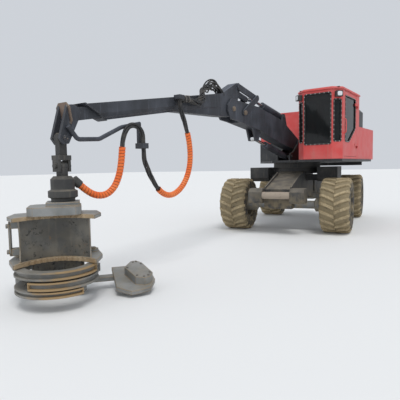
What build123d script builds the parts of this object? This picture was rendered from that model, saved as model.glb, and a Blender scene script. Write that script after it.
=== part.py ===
from build123d import *
import os
from math import atan2, cos, degrees, hypot, pi, radians, sin, tan

# Wheeled feller buncher. Millimetres and degrees, +X along the boom at rest, +Y to the
# machine's left, +Z up. Everything is drawn about the swing axis, at ground level, and
# the finished machine is then moved so that its box stands centred on the origin.

# Wheels and ground
TYRE_DIAMETER = 1345
TYRE_WIDTH = 710
LUG_HEIGHT = 42
LUG_COUNT = 16
RIM_RADIUS = 333
RIM_WIDTH = 580
RIM_WALL = 30
HALF_TRACK = 1260
FRONT_AXLE_X = 1300
REAR_AXLE_X = -2100

# Chassis
CHASSIS_TURN = 10
HINGE_X = -900
FRAME_HALF = 330
FRAME_BOTTOM = 800
FRAME_TOP = 1500
NOSE_X = 2120
NOSE_TOP = 1100
NOSE_BOTTOM = 630
REAR_FRAME_HALF = 300
REAR_FRAME_TOP = 1330
REAR_FRAME_BACK = -2950
HINGE_PIN_RADIUS = 50
TOW_X = -3100
TOW_HOLE = 26
HINGE_LUG = 80
AXLE_RADIUS = 100
HUB_RADIUS = 170
STEP_INNER = 660

# Slewing upper
RING_RADIUS = 640
RING_BOTTOM = 1600
DECK_BOTTOM = 1740
DECK_TOP = 1800
HOUSE_FRONT = -300
HOUSE_BACK = -1950
HOUSE_RIGHT = -1300
HOUSE_LEFT = 300
HOUSE_TOP = 2320
HOOD_SHOULDER = 2700
HOOD_TOP = 3280
TAIL_DEPTH = 300

# Cab
CAB_FRONT = 1479
CAB_BACK = -140
CAB_RIGHT = 573
CAB_LEFT = 1654
CAB_CORNER = 196
CAB_TOP = 3471
CAB_WALL = 50
ROOF_THICK = 60
SILL = 2150
GLASS = 12
DOOR_REAR = 130
DOOR_FRONT = 1200
DOOR_GAP = 6
HINGE_RADIUS = 16
HINGE_LEVELS = (2100, 3100)
HINGE_HEIGHT = 60

# Boom, in the plane y = 0
FOOT = (250, 2200)
LIFT_BASE = (800, 1900)
LIFT_EYE = (2600, 2300)
ELBOW = (3740, 2840)
EAR = (3450, 3320)
ROCKER_PIN = (3310, 2800)
CYLINDER_PIN = (2720, 3180)
STICK_BASE = (1100, 2920)
TIP = (7820, 2050)
CROSS_PIN_Z = 1700
STICK_ANGLE = -9.9
BOOM_HALF = 148
ROOT_HALF = 106
SLOT_REACH = 330
TUBE_HALF = 125
TUBE_DEPTH = 240
TUBE_AXIS = 207
TUBE_WALL = 20
INNER_HALF = 88
INNER_DEPTH = 170
OUTER_END = 3780
INNER_START = 900
INNER_END = 4020

# Cylinders
BARREL_RADIUS = 82
ROD_RADIUS = 38
LIFT_BARREL = 1250
STICK_BARREL = 1080
EYE_HALF = 45

# Felling head
HEAD_TURN = 52
RING_INNER = 400
RING_OUTER = 560
ARM_PIN = (-180, 440)
HEAD_TOP = 1200
HEAD_BOTTOM = 60
HEAD_SHIFT = (98, -99)
SHOE_HALF = 345
SAW_LEVEL = 172
SAW_LEAN = 12
SAW_PLATE = 55
SAW_BOX = 110

# Hoses: the guide on the tube, the clamp on the hose arm and the routes between
GUIDE = (5585, 2800)
CLAMP_X = 6520
CLAMP_Z = 1990
CLAMP_HEIGHT = 80
HOSE_ARM_Y = 132
CLAMP_Y = HOSE_ARM_Y + 85
GUIDE_Y = 195
BOOM_HOSE = (
    (GUIDE[0], GUIDE_Y, GUIDE[1]),
    (GUIDE[0], GUIDE_Y, 2690),
    (5545, 215, 2550),
    (5480, 235, 2360),
    (5410, 245, 2130),
    (5370, 240, 1880),
    (5390, 230, 1640),
    (5490, 215, 1420),
    (5670, 205, 1260),
    (5900, 205, 1190),
    (6120, 210, 1250),
    (6290, 218, 1400),
    (6410, 222, 1570),
    (6490, CLAMP_Y, 1720),
    (CLAMP_X, CLAMP_Y, 1840),
    (CLAMP_X, CLAMP_Y, CLAMP_Z - CLAMP_HEIGHT / 2 - 0.3),
)
HEAD_HOSE = (
    (CLAMP_X, CLAMP_Y, CLAMP_Z + CLAMP_HEIGHT / 2 + 0.3),
    (CLAMP_X, CLAMP_Y, 2150),
    (6590, 217, 2250),
    (6705, 216, 2292),
    (6825, 216, 2262),
    (6905, 216, 2165),
    (6945, 216, 2035),
    (6965, 215, 1880),
    (6985, 212, 1720),
    (7010, 185, 1540),
    (7090, 165, 1380),
    (7220, 140, 1290),
    (7370, 110, 1290),
    (7500, 80, 1360),
    (7600, 60, 1450),
)

# Clearances
SEAT = 0.3
RUNNING = 6

# The door's hinge line, outside the rear door post
DOOR_PIN = (DOOR_REAR - 30, CAB_LEFT + HINGE_RADIUS + RUNNING)

parts_made = {}


def side_plane(y):
    """The upright plane at y, drawn in x and z, whose solids grow towards +y when extruded by -amount."""
    return Plane(origin=(0, y, 0), x_dir=(1, 0, 0), z_dir=(0, -1, 0))


def keep(name, shape, turn=0.0):
    """Name a finished piece, turned about the swing axis by so many degrees."""
    parts_made[name] = shape.moved(Location((0, 0, 0), (0, 0, turn)))


def between(start, end):
    """Length and direction, in degrees above +X, from one point of the boom's plane to another."""
    run = end[0] - start[0]
    rise = end[1] - start[1]
    return hypot(run, rise), degrees(atan2(rise, run))


# Tyres: a revolved carcass with rows of slanted lugs, cut to the outer round

tyre_radius = TYRE_DIAMETER / 2
carcass_radius = tyre_radius - LUG_HEIGHT
bead_radius = RIM_RADIUS + SEAT
tyre_half = TYRE_WIDTH / 2
with BuildPart() as tyre:
    with BuildSketch(Plane.YZ):
        with BuildLine():
            Polyline(
                (-tyre_half + 70, bead_radius),
                (tyre_half - 70, bead_radius),
                (tyre_half - 25, bead_radius + 60),
                (tyre_half, (bead_radius + carcass_radius) / 2 + 30),
                (tyre_half - 20, carcass_radius - 45),
                (tyre_half - 75, carcass_radius),
                (-tyre_half + 75, carcass_radius),
                (-tyre_half + 20, carcass_radius - 45),
                (-tyre_half, (bead_radius + carcass_radius) / 2 + 30),
                (-tyre_half + 25, bead_radius + 60),
                close=True,
            )
        make_face()
    revolve(axis=Axis.Y)
with BuildPart() as lugs:
    # side of the tread, turn of the bar, shift round the tyre in lugs
    for side, slant, shift in ((1, 40, 0.0), (-1, -40, 0.5)):
        start = 360 / LUG_COUNT * shift
        for number in range(LUG_COUNT):
            angle = start + number * 360 / LUG_COUNT
            spot = Plane.XY.rotated((0, angle, 0)).offset(carcass_radius - 30)
            with Locations(spot * Location((0, side * tyre_half * 0.5, 0), (0, 0, slant))):
                Box(60, tyre_half * 1.15, LUG_HEIGHT + 40, align=(Align.CENTER, Align.CENTER, Align.MIN))
with BuildPart() as tread_round:
    with BuildSketch(Plane.YZ):
        with BuildLine():
            Polyline(
                (-tyre_half, bead_radius + 40),
                (tyre_half, bead_radius + 40),
                (tyre_half, tyre_radius - 60),
                (tyre_half - 45, tyre_radius),
                (-tyre_half + 45, tyre_radius),
                (-tyre_half, tyre_radius - 60),
                close=True,
            )
        make_face()
    revolve(axis=Axis.Y)
lug_ring = lugs.part & tread_round.part
tyre_solid = tyre.part + lug_ring

# Rims: a barrel with flanges, a dished disc and the hub's cover

with BuildPart() as rim:
    with BuildSketch(Plane.YZ):
        with BuildLine():
            Polyline(
                (-RIM_WIDTH / 2, RIM_RADIUS - RIM_WALL),
                (20, RIM_RADIUS - RIM_WALL),
                (20, 120),
                (-30, 120),
                (-30, 0),
                (110, 0),
                (110, 95),
                (90, 120),
                (45, 120),
                (60, RIM_RADIUS - RIM_WALL),
                (RIM_WIDTH / 2, RIM_RADIUS - RIM_WALL),
                (RIM_WIDTH / 2, RIM_RADIUS),
                (-RIM_WIDTH / 2, RIM_RADIUS),
                close=True,
            )
        make_face()
    revolve(axis=Axis.Y)

# corner, x, side
for corner, axle_x, side in (
    ("front_left", FRONT_AXLE_X, 1),
    ("front_right", FRONT_AXLE_X, -1),
    ("rear_left", REAR_AXLE_X, 1),
    ("rear_right", REAR_AXLE_X, -1),
):
    place = Location((axle_x, side * HALF_TRACK, tyre_radius), (0, 0, 0 if side > 0 else 180))
    keep("tyre_" + corner, tyre_solid.moved(place), CHASSIS_TURN)
    keep("rim_" + corner, rim.part.moved(place), CHASSIS_TURN)

# Axles: a cast tube with the differential's bulge, the saddle and a hub housing at each end

hub_face = HALF_TRACK - 30 - SEAT
for axle_name, axle_x, beam_bottom in (
    ("front_axle", FRONT_AXLE_X, FRAME_BOTTOM),
    ("rear_axle", REAR_AXLE_X, FRAME_BOTTOM),
):
    with BuildPart() as axle:
        with BuildSketch(Plane.YZ.offset(axle_x)):
            with BuildLine():
                Polyline(
                    (-hub_face, tyre_radius),
                    (-hub_face, tyre_radius + 110),
                    (-hub_face + 60, tyre_radius + HUB_RADIUS),
                    (-760, tyre_radius + HUB_RADIUS),
                    (-720, tyre_radius + AXLE_RADIUS),
                    (-210, tyre_radius + AXLE_RADIUS),
                    (-90, tyre_radius + 122),
                    (90, tyre_radius + 122),
                    (210, tyre_radius + AXLE_RADIUS),
                    (720, tyre_radius + AXLE_RADIUS),
                    (760, tyre_radius + HUB_RADIUS),
                    (hub_face - 60, tyre_radius + HUB_RADIUS),
                    (hub_face, tyre_radius + 110),
                    (hub_face, tyre_radius),
                    close=True,
                )
            make_face()
        revolve(axis=Axis((axle_x, 0, tyre_radius), (0, 1, 0)))
        with Locations((axle_x, 0, beam_bottom)):
            Box(300, 2 * REAR_FRAME_HALF, 90, align=(Align.CENTER, Align.CENTER, Align.MAX))
    keep(axle_name, axle.part, CHASSIS_TURN)

# Front frame: a welded box with the sloping nose, the turntable's pedestal and the hinge ears

ear_low = (720, 720 + HINGE_LUG)
ear_high = (1120, 1120 + HINGE_LUG)
with BuildPart() as front_frame:
    with BuildSketch(Plane.XZ):
        with BuildLine():
            Polyline(
                (-700, FRAME_BOTTOM - 90),
                (-300, FRAME_BOTTOM),
                (NOSE_X - 420, FRAME_BOTTOM),
                (NOSE_X - 330, NOSE_BOTTOM),
                (NOSE_X, NOSE_BOTTOM),
                (NOSE_X, NOSE_TOP),
                (620, FRAME_TOP),
                (-700, FRAME_TOP),
                close=True,
            )
        make_face()
    extrude(amount=FRAME_HALF, both=True)
    with BuildSketch(Plane.XZ):
        with BuildLine():
            Polyline(
                (900, FRAME_TOP - 160),
                (NOSE_X, NOSE_TOP - 60),
                (NOSE_X, NOSE_TOP + 50),
                (900, FRAME_TOP - 10),
                close=True,
            )
        make_face()
    extrude(amount=FRAME_HALF, both=True)
    with BuildSketch(Plane.XZ):
        with BuildLine():
            Polyline(
                (840, FRAME_TOP - 58),
                (NOSE_X + 10, NOSE_TOP - 4),
                (NOSE_X + 10, NOSE_TOP + 90),
                (840, FRAME_TOP + 60),
                close=True,
            )
        make_face()
    extrude(amount=FRAME_HALF - 30, both=True, mode=Mode.SUBTRACT)
    with Locations((0, 0, FRAME_TOP - 60)):
        Cylinder(RING_RADIUS - 60, RING_BOTTOM - FRAME_TOP + 60, align=(Align.CENTER, Align.CENTER, Align.MIN))
    for low, high in (ear_low, ear_high):
        with BuildSketch(Plane.XY.offset(low)):
            with Locations((HINGE_X, 0)):
                Circle(140)
            with Locations(((HINGE_X - 690) / 2, 0)):
                Rectangle(-HINGE_X - 690 + 10, 280)
        extrude(amount=high - low)
    with Locations((HINGE_X, 0, ear_low[0] - 30)):
        Cylinder(HINGE_PIN_RADIUS, ear_high[1] - ear_low[0] + 60, align=(Align.CENTER, Align.CENTER, Align.MIN))
keep("front_frame", front_frame.part, CHASSIS_TURN)

# Nose bumper: the round cross tube between two side boxes

box_inner = FRAME_HALF + SEAT
with BuildPart() as bumper:
    with Locations((NOSE_X + 140, 0, 960)):
        Cylinder(85, 2 * box_inner + 40, rotation=(90, 0, 0))
    with BuildSketch(side_plane(box_inner)):
        with BuildLine():
            Polyline(
                (NOSE_X - 200, 770),
                (NOSE_X + 190, 770),
                (NOSE_X + 230, 830),
                (NOSE_X + 230, 1040),
                (NOSE_X + 130, 1120),
                (NOSE_X - 200, 1120),
                close=True,
            )
        make_face()
    extrude(amount=-330)
    mirror(about=Plane.XZ)
keep("nose_bumper", bumper.part, CHASSIS_TURN)

# Step boxes: one on each side between the wheels, on two arms

with BuildPart() as step_boxes:
    with BuildSketch(side_plane(STEP_INNER)):
        with BuildLine():
            Polyline((-240, 1230), (520, 1230), (600, 1330), (600, 1620), (-240, 1620), close=True)
        make_face()
    extrude(amount=-520)
    with Locations((-120, FRAME_HALF + SEAT, 1250), (340, FRAME_HALF + SEAT, 1250)):
        Box(120, STEP_INNER - FRAME_HALF + 20, 160, align=(Align.CENTER, Align.MIN, Align.MIN))
    mirror(about=Plane.XZ)
keep("step_boxes", step_boxes.part, CHASSIS_TURN)

# Rear frame: a box on the hinge, with its own ears between the front ones

with BuildPart() as rear_frame:
    with BuildSketch(Plane.XZ):
        with BuildLine():
            Polyline(
                (HINGE_X - 260, 860),
                (HINGE_X - 420, FRAME_BOTTOM),
                (REAR_FRAME_BACK, FRAME_BOTTOM),
                (REAR_FRAME_BACK - 60, 900),
                (REAR_FRAME_BACK - 60, REAR_FRAME_TOP - 80),
                (REAR_FRAME_BACK, REAR_FRAME_TOP),
                (HINGE_X - 420, REAR_FRAME_TOP),
                (HINGE_X - 260, 1200),
                close=True,
            )
        make_face()
    extrude(amount=REAR_FRAME_HALF, both=True)
    for low, high in (
        (ear_low[1] + SEAT, ear_low[1] + SEAT + HINGE_LUG),
        (ear_high[0] - SEAT - HINGE_LUG, ear_high[0] - SEAT),
    ):
        with BuildSketch(Plane.XY.offset(low)):
            with Locations((HINGE_X, 0)):
                Circle(130)
            with Locations((HINGE_X - 140, 0)):
                Rectangle(280, 260)
            with Locations((HINGE_X, 0)):
                Circle(HINGE_PIN_RADIUS + SEAT, mode=Mode.SUBTRACT)
        extrude(amount=high - low)
    # tow clevis and its pin hole
    for low in (980, 1090):
        with BuildSketch(Plane.XY.offset(low)):
            with Locations((TOW_X, 0)):
                Circle(70)
            with Locations(((REAR_FRAME_BACK - 50 + TOW_X) / 2, 0)):
                Rectangle(REAR_FRAME_BACK - 50 - TOW_X, 140)
            with Locations((TOW_X, 0)):
                Circle(TOW_HOLE, mode=Mode.SUBTRACT)
        extrude(amount=30)
keep("rear_frame", rear_frame.part, CHASSIS_TURN)

# Turntable ring

with BuildPart() as turntable:
    with BuildSketch(Plane.XY.offset(RING_BOTTOM)):
        Circle(RING_RADIUS)
        Circle(RING_RADIUS - 180, mode=Mode.SUBTRACT)
    extrude(amount=DECK_BOTTOM - SEAT - RING_BOTTOM)
keep("turntable_ring", turntable.part)

# Upper deck: the plate, the boom foot's cheeks and their pins

cheek_inner = BOOM_HALF + RUNNING
CHEEK = 40
with BuildPart() as deck:
    with BuildSketch(Plane.XY.offset(DECK_BOTTOM)):
        with BuildLine():
            Polyline(
                (HOUSE_BACK, HOUSE_RIGHT + 300),
                (HOUSE_BACK + 350, HOUSE_RIGHT),
                (HOUSE_FRONT, HOUSE_RIGHT),
                (350, -620),
                (980, -300),
                (980, 420),
                (1300, CAB_RIGHT),
                (1420, CAB_RIGHT + 200),
                (1420, CAB_LEFT - 200),
                (1250, CAB_LEFT - 20),
                (HOUSE_BACK + 350, CAB_LEFT - 20),
                (HOUSE_BACK, CAB_LEFT - 320),
                close=True,
            )
        make_face()
    extrude(amount=DECK_TOP - DECK_BOTTOM)
    with BuildSketch(side_plane(cheek_inner)):
        with BuildLine():
            Polyline(
                (-180, DECK_TOP - 10),
                (940, DECK_TOP - 10),
                (940, 1920),
                (860, 1990),
                (720, 2020),
                (FOOT[0] + 150, FOOT[1] + 40),
                (FOOT[0] + 90, FOOT[1] + 140),
                (FOOT[0] - 90, FOOT[1] + 140),
                (FOOT[0] - 170, FOOT[1] + 20),
                close=True,
            )
        make_face()
    extrude(amount=-CHEEK)
    mirror(about=Plane.XZ)
    pin_half = cheek_inner + CHEEK + 12
    # pin, radius
    for pin, radius in ((FOOT, 60), (LIFT_BASE, 42)):
        with Locations((pin[0], 0, pin[1])):
            Cylinder(radius, 2 * pin_half, rotation=(90, 0, 0))
keep("upper_deck", deck.part)

# Engine housing, its hood, the left housing, the intake box and the tail

with BuildPart() as engine_housing:
    with BuildSketch(Plane.YZ.offset(HOUSE_BACK)):
        with BuildLine():
            Polyline(
                (HOUSE_RIGHT, DECK_TOP),
                (HOUSE_LEFT, DECK_TOP),
                (HOUSE_LEFT, HOUSE_TOP - 240),
                (HOUSE_LEFT - 320, HOUSE_TOP),
                (HOUSE_RIGHT, HOUSE_TOP),
                close=True,
            )
        make_face()
    extrude(amount=HOUSE_FRONT - HOUSE_BACK)
keep("engine_housing", engine_housing.part)

with BuildPart() as engine_hood:
    with BuildSketch(Plane.YZ.offset(HOUSE_BACK)):
        with BuildLine():
            Polyline(
                (HOUSE_RIGHT + 10, HOUSE_TOP),
                (HOUSE_LEFT - 330, HOUSE_TOP),
                (HOUSE_LEFT - 330, HOOD_SHOULDER),
                (HOUSE_RIGHT + 10, HOOD_SHOULDER),
                close=True,
            )
        make_face()
    extrude(amount=HOUSE_FRONT - HOUSE_BACK - 20)
    with BuildSketch(Plane.YZ.offset(HOUSE_BACK)):
        with BuildLine():
            Polyline(
                (HOUSE_RIGHT + 60, HOOD_SHOULDER - 5),
                (HOUSE_LEFT - 340, HOOD_SHOULDER - 5),
                (HOUSE_LEFT - 340, HOOD_TOP - 120),
                (HOUSE_LEFT - 460, HOOD_TOP),
                (HOUSE_RIGHT + 260, HOOD_TOP),
                (HOUSE_RIGHT + 60, HOOD_TOP - 200),
                close=True,
            )
        make_face()
    extrude(amount=1150)
keep("engine_hood", engine_hood.part)

with BuildPart() as left_housing:
    with Locations(((HOUSE_BACK - 240) / 2, (450 + 1600) / 2, DECK_TOP)):
        Box(-240 - HOUSE_BACK, 1150, 860, align=(Align.CENTER, Align.CENTER, Align.MIN))
keep("left_housing", left_housing.part)

with BuildPart() as intake_box:
    with BuildSketch(Plane.YZ.offset(-900)):
        with BuildLine():
            Polyline(
                (700, DECK_TOP + 860),
                (1560, DECK_TOP + 860),
                (1560, 3080),
                (1420, 3220),
                (840, 3220),
                (700, 3080),
                close=True,
            )
        make_face()
    extrude(amount=640)
keep("intake_box", intake_box.part)

with BuildPart() as tail:
    with BuildSketch(Plane.XY.offset(1640)):
        with BuildLine():
            Polyline(
                (HOUSE_BACK - SEAT, -960),
                (HOUSE_BACK - SEAT, 1290),
                (HOUSE_BACK - TAIL_DEPTH + 90, 1200),
                (HOUSE_BACK - TAIL_DEPTH, 900),
                (HOUSE_BACK - TAIL_DEPTH, -600),
                (HOUSE_BACK - TAIL_DEPTH + 90, -900),
                close=True,
            )
        make_face()
    extrude(amount=900)
keep("counterweight", tail.part)

# Cab: floor and walls as one shell, roof, door, glazing, seat and lamps

cab_bottom = DECK_TOP + SEAT
cab_outline = (
    (CAB_FRONT, CAB_RIGHT + CAB_CORNER),
    (CAB_FRONT, CAB_LEFT - CAB_CORNER),
    (CAB_FRONT - CAB_CORNER, CAB_LEFT),
    (CAB_BACK, CAB_LEFT),
    (CAB_BACK, CAB_RIGHT),
    (CAB_FRONT - CAB_CORNER, CAB_RIGHT),
)
wall_top = CAB_TOP - ROOF_THICK
pane_top = wall_top - 110
corner_mid = (CAB_FRONT - CAB_CORNER / 2, CAB_LEFT - CAB_CORNER / 2)
corner_right_mid = (CAB_FRONT - CAB_CORNER / 2, CAB_RIGHT + CAB_CORNER / 2)
cab_centre_y = (CAB_LEFT + CAB_RIGHT) / 2
# pane, centre x, centre y, facing in degrees, width, bottom, top
panes = (
    ("front", CAB_FRONT, cab_centre_y, 0, 640, SILL, pane_top + 40),
    ("corner_left", corner_mid[0], corner_mid[1], 45, 190, SILL + 60, pane_top - 120),
    ("corner_right", corner_right_mid[0], corner_right_mid[1], -45, 190, SILL + 60, pane_top - 120),
    ("right", 620, CAB_RIGHT, -90, 1000, SILL + 250, pane_top),
    ("rear", CAB_BACK, cab_centre_y, 180, 760, SILL + 350, pane_top),
)
with BuildPart() as cab_shell:
    with BuildSketch(Plane.XY.offset(cab_bottom)):
        with BuildLine():
            Polyline(*cab_outline, close=True)
        make_face()
    extrude(amount=wall_top - cab_bottom)
    with BuildSketch(Plane.XY.offset(cab_bottom + CAB_WALL)):
        with BuildLine():
            Polyline(*cab_outline, close=True)
        make_face()
        offset(amount=-CAB_WALL, kind=Kind.INTERSECTION)
    extrude(amount=wall_top - cab_bottom, mode=Mode.SUBTRACT)
    for pane, x, y, facing, width, bottom, top in panes:
        with Locations(Location((x, y, (bottom + top) / 2), (0, 0, facing))):
            Box(3 * CAB_WALL, width, top - bottom, mode=Mode.SUBTRACT)
    with Locations(((DOOR_REAR + DOOR_FRONT) / 2, CAB_LEFT, (cab_bottom + 60 + wall_top - 30) / 2)):
        Box(
            DOOR_FRONT - DOOR_REAR + 2 * DOOR_GAP,
            3 * CAB_WALL,
            wall_top - 30 - cab_bottom - 60 + 2 * DOOR_GAP,
            mode=Mode.SUBTRACT,
        )
    # hinge knuckles of the shell, on short brackets
    for level in HINGE_LEVELS:
        with Locations((*DOOR_PIN, level)):
            Cylinder(HINGE_RADIUS, HINGE_HEIGHT)
        with Locations((DOOR_PIN[0] - 20, CAB_LEFT - 2, level)):
            Box(40, HINGE_RADIUS + RUNNING + 2, HINGE_HEIGHT, align=(Align.CENTER, Align.MIN, Align.CENTER))
keep("cab_shell", cab_shell.part)

door_bottom = cab_bottom + 60
door_top = wall_top - 30
with BuildPart() as cab_door:
    with Locations(((DOOR_REAR + DOOR_FRONT) / 2, CAB_LEFT - CAB_WALL / 2, (door_bottom + door_top) / 2)):
        Box(DOOR_FRONT - DOOR_REAR, CAB_WALL, door_top - door_bottom)
    with BuildSketch(side_plane(CAB_LEFT - 2 * CAB_WALL)):
        with BuildLine():
            Polyline(
                (DOOR_REAR + 90, SILL + 420),
                (DOOR_FRONT - 420, SILL + 60),
                (DOOR_FRONT - 90, SILL + 60),
                (DOOR_FRONT - 90, door_top - 90),
                (DOOR_REAR + 90, door_top - 90),
                close=True,
            )
        make_face()
    extrude(amount=-3 * CAB_WALL, mode=Mode.SUBTRACT)
    # hinge straps reach back over the post to knuckles that stand on the shell's
    for level in HINGE_LEVELS:
        strap_level = level + HINGE_HEIGHT + SEAT
        with Locations((*DOOR_PIN, strap_level)):
            Cylinder(HINGE_RADIUS, HINGE_HEIGHT)
        with BuildSketch(Plane.XY.offset(strap_level - HINGE_HEIGHT / 2)):
            with BuildLine():
                Polyline(
                    (DOOR_PIN[0], CAB_LEFT + RUNNING),
                    (DOOR_REAR + 4, CAB_LEFT + RUNNING),
                    (DOOR_REAR + 12, CAB_LEFT - 2),
                    (DOOR_REAR + 150, CAB_LEFT - 2),
                    (DOOR_REAR + 150, CAB_LEFT + 12),
                    (DOOR_PIN[0], DOOR_PIN[1] + HINGE_RADIUS),
                    close=True,
                )
            make_face()
        extrude(amount=HINGE_HEIGHT)
keep("cab_door", cab_door.part)

with BuildPart() as cab_glazing:
    for pane, x, y, facing, width, bottom, top in panes:
        with Locations(Location((x, y, (bottom + top) / 2), (0, 0, facing))):
            with Locations((-CAB_WALL / 2, 0, 0)):
                Box(GLASS, width - 2 * SEAT, top - bottom - 2 * SEAT)
keep("cab_glazing", cab_glazing.part)

with BuildPart() as door_glass:
    with BuildSketch(side_plane(CAB_LEFT - CAB_WALL / 2 - GLASS / 2)):
        with BuildLine():
            Polyline(
                (DOOR_REAR + 90, SILL + 420),
                (DOOR_FRONT - 420, SILL + 60),
                (DOOR_FRONT - 90, SILL + 60),
                (DOOR_FRONT - 90, door_top - 90),
                (DOOR_REAR + 90, door_top - 90),
                close=True,
            )
        make_face()
        offset(amount=-SEAT, kind=Kind.INTERSECTION)
    extrude(amount=-GLASS)
keep("door_glass", door_glass.part)

with BuildPart() as cab_roof:
    with BuildSketch(Plane.XY.offset(wall_top + SEAT)):
        with BuildLine():
            Polyline(*cab_outline, close=True)
        make_face()
        offset(amount=20, kind=Kind.INTERSECTION)
    extrude(amount=ROOF_THICK - SEAT)
    chamfer(cab_roof.faces().sort_by(Axis.Z)[-1].edges(), 30)
keep("cab_roof", cab_roof.part)

with BuildPart() as cab_seat:
    floor_z = cab_bottom + CAB_WALL + SEAT
    with Locations((450, cab_centre_y, floor_z)):
        Box(420, 380, 330, align=(Align.CENTER, Align.CENTER, Align.MIN))
        with Locations((0, 0, 330)):
            Box(520, 500, 140, align=(Align.CENTER, Align.CENTER, Align.MIN))
        with Locations((-230, 0, 460)):
            Box(130, 480, 640, align=(Align.CENTER, Align.CENTER, Align.MIN))
        with Locations((40, 315, 200), (40, -315, 200)):
            Box(420, 130, 420, align=(Align.CENTER, Align.CENTER, Align.MIN))
keep("cab_seat", cab_seat.part)

with BuildPart() as work_lamps:
    for spot, facing in ((corner_mid, 45), (corner_right_mid, -45)):
        with Locations(Location((spot[0], spot[1], pane_top - 10), (0, 0, facing))):
            with Locations((SEAT, 0, 0)):
                Box(110, 150, 130, align=(Align.MIN, Align.CENTER, Align.CENTER))
keep("work_lamps", work_lamps.part)

# Main boom: a box section with the elbow's cheeks and the pins it carries

fork_inner = ROOT_HALF + RUNNING
with BuildPart() as main_boom:
    with BuildSketch(Plane.XZ):
        with BuildLine():
            Polyline(
                (FOOT[0] - 150, FOOT[1] - 60),
                (FOOT[0] + 40, FOOT[1] - 150),
                (1500, 2250),
                (2450, 2470),
                (ELBOW[0] - 200, ELBOW[1] - 230),
                (ELBOW[0] + 60, ELBOW[1] - 210),
                (ELBOW[0] + 200, ELBOW[1] - 60),
                (ELBOW[0] + 200, ELBOW[1] + 60),
                (ELBOW[0] + 60, ELBOW[1] + 200),
                (2600, 3000),
                (1300, 2800),
                (FOOT[0] - 60, FOOT[1] + 150),
                (FOOT[0] - 150, FOOT[1] + 60),
                close=True,
            )
        make_face()
    extrude(amount=BOOM_HALF, both=True)
    # room for the stick's root between the cheeks
    with Locations((ELBOW[0] - SLOT_REACH, 0, ELBOW[1])):
        Box(3 * SLOT_REACH, 2 * fork_inner, 900, align=(Align.MIN, Align.CENTER, Align.CENTER), mode=Mode.SUBTRACT)
    with Locations((FOOT[0], 0, FOOT[1])):
        Cylinder(60 + SEAT, 3 * BOOM_HALF, rotation=(90, 0, 0), mode=Mode.SUBTRACT)
    # elbow pin
    with Locations((ELBOW[0], 0, ELBOW[1])):
        Cylinder(55, 2 * BOOM_HALF + 24, rotation=(90, 0, 0))
    # ears for the lift cylinder's rod
    with BuildSketch(side_plane(EYE_HALF + 12)):
        with BuildLine():
            Polyline(
                (LIFT_EYE[0] - 190, 2440),
                (LIFT_EYE[0] - 70, LIFT_EYE[1] - 60),
                (LIFT_EYE[0] + 70, LIFT_EYE[1] - 60),
                (LIFT_EYE[0] + 190, 2520),
                close=True,
            )
        make_face()
    extrude(amount=-40)
    mirror(about=Plane.XZ)
    # ears for the stick cylinder's barrel, and its pin
    with BuildSketch(side_plane(EYE_HALF + 12)):
        with BuildLine():
            Polyline(
                (STICK_BASE[0] - 220, 2620),
                (STICK_BASE[0] - 70, STICK_BASE[1] + 70),
                (STICK_BASE[0] + 55, STICK_BASE[1] + 70),
                (STICK_BASE[0] + 95, STICK_BASE[1] - 60),
                (STICK_BASE[0] + 160, 2720),
                close=True,
            )
        make_face()
    extrude(amount=-40)
    mirror(about=Plane.XZ)
    with Locations((STICK_BASE[0], 0, STICK_BASE[1])):
        Cylinder(38, 2 * (EYE_HALF + 64), rotation=(90, 0, 0))
    # rocker pin, outside both cheeks
    with Locations((ROCKER_PIN[0], 0, ROCKER_PIN[1])):
        Cylinder(40, 2 * (BOOM_HALF + 42), rotation=(90, 0, 0))
keep("main_boom", main_boom.part)

# Cylinders: each barrel turns on its base pin and its rod slides along it
# name, base pin, eye pin, barrel length, base pin radius
for name, base, eye, barrel_length, pin_radius in (
    ("lift_cylinder", LIFT_BASE, LIFT_EYE, LIFT_BARREL, 42),
    ("stick_cylinder", STICK_BASE, CYLINDER_PIN, STICK_BARREL, 38),
):
    length, angle = between(base, eye)
    line = Plane(origin=(base[0], 0, base[1]), x_dir=(0, 1, 0), z_dir=(cos(radians(angle)), 0, sin(radians(angle))))
    with BuildPart() as barrel:
        with Locations(line):
            with Locations((0, 0, 150)):
                Cylinder(BARREL_RADIUS, barrel_length - 150, align=(Align.CENTER, Align.CENTER, Align.MIN))
            Box(2 * EYE_HALF - 10, 110, 160, align=(Align.CENTER, Align.CENTER, Align.MIN))
            Cylinder(70, 2 * EYE_HALF, rotation=(0, 90, 0))
            Cylinder(pin_radius + SEAT, 4 * EYE_HALF, rotation=(0, 90, 0), mode=Mode.SUBTRACT)
            with Locations((0, 0, 200)):
                Cylinder(
                    ROD_RADIUS + SEAT, barrel_length, align=(Align.CENTER, Align.CENTER, Align.MIN), mode=Mode.SUBTRACT
                )
    keep(name + "_barrel", barrel.part)
    rod_start = length - barrel_length + 80
    with BuildPart() as rod:
        with Locations(line):
            with Locations((0, 0, rod_start)):
                Cylinder(ROD_RADIUS, length - rod_start - 50, align=(Align.CENTER, Align.CENTER, Align.MIN))
            with Locations((0, 0, length)):
                Cylinder(66, 2 * EYE_HALF, rotation=(0, 90, 0))
    keep(name + "_rod", rod.part)

# Elbow linkage: the rocker outside the boom, and the link between rocker and ear
# name, start, end, inner face, plate thickness
rocker_inner = BOOM_HALF + RUNNING
link_inner = ROOT_HALF + SEAT
for name, start, end, inner, plate, bore in (
    ("elbow_rocker", ROCKER_PIN, CYLINDER_PIN, rocker_inner, 30, 40),
    ("elbow_link", EAR, CYLINDER_PIN, link_inner, 35, 0),
):
    length, angle = between(start, end)
    with BuildPart() as link:
        with BuildSketch(side_plane(inner)):
            with Locations(Location((start[0], start[1], 0), (0, 0, angle))):
                with Locations((length / 2, 0)):
                    SlotCenterToCenter(length, 130)
                if bore:
                    Circle(bore + SEAT, mode=Mode.SUBTRACT)
        extrude(amount=-plate)
        mirror(about=Plane.XZ)
    keep(name, link.part)

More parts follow.
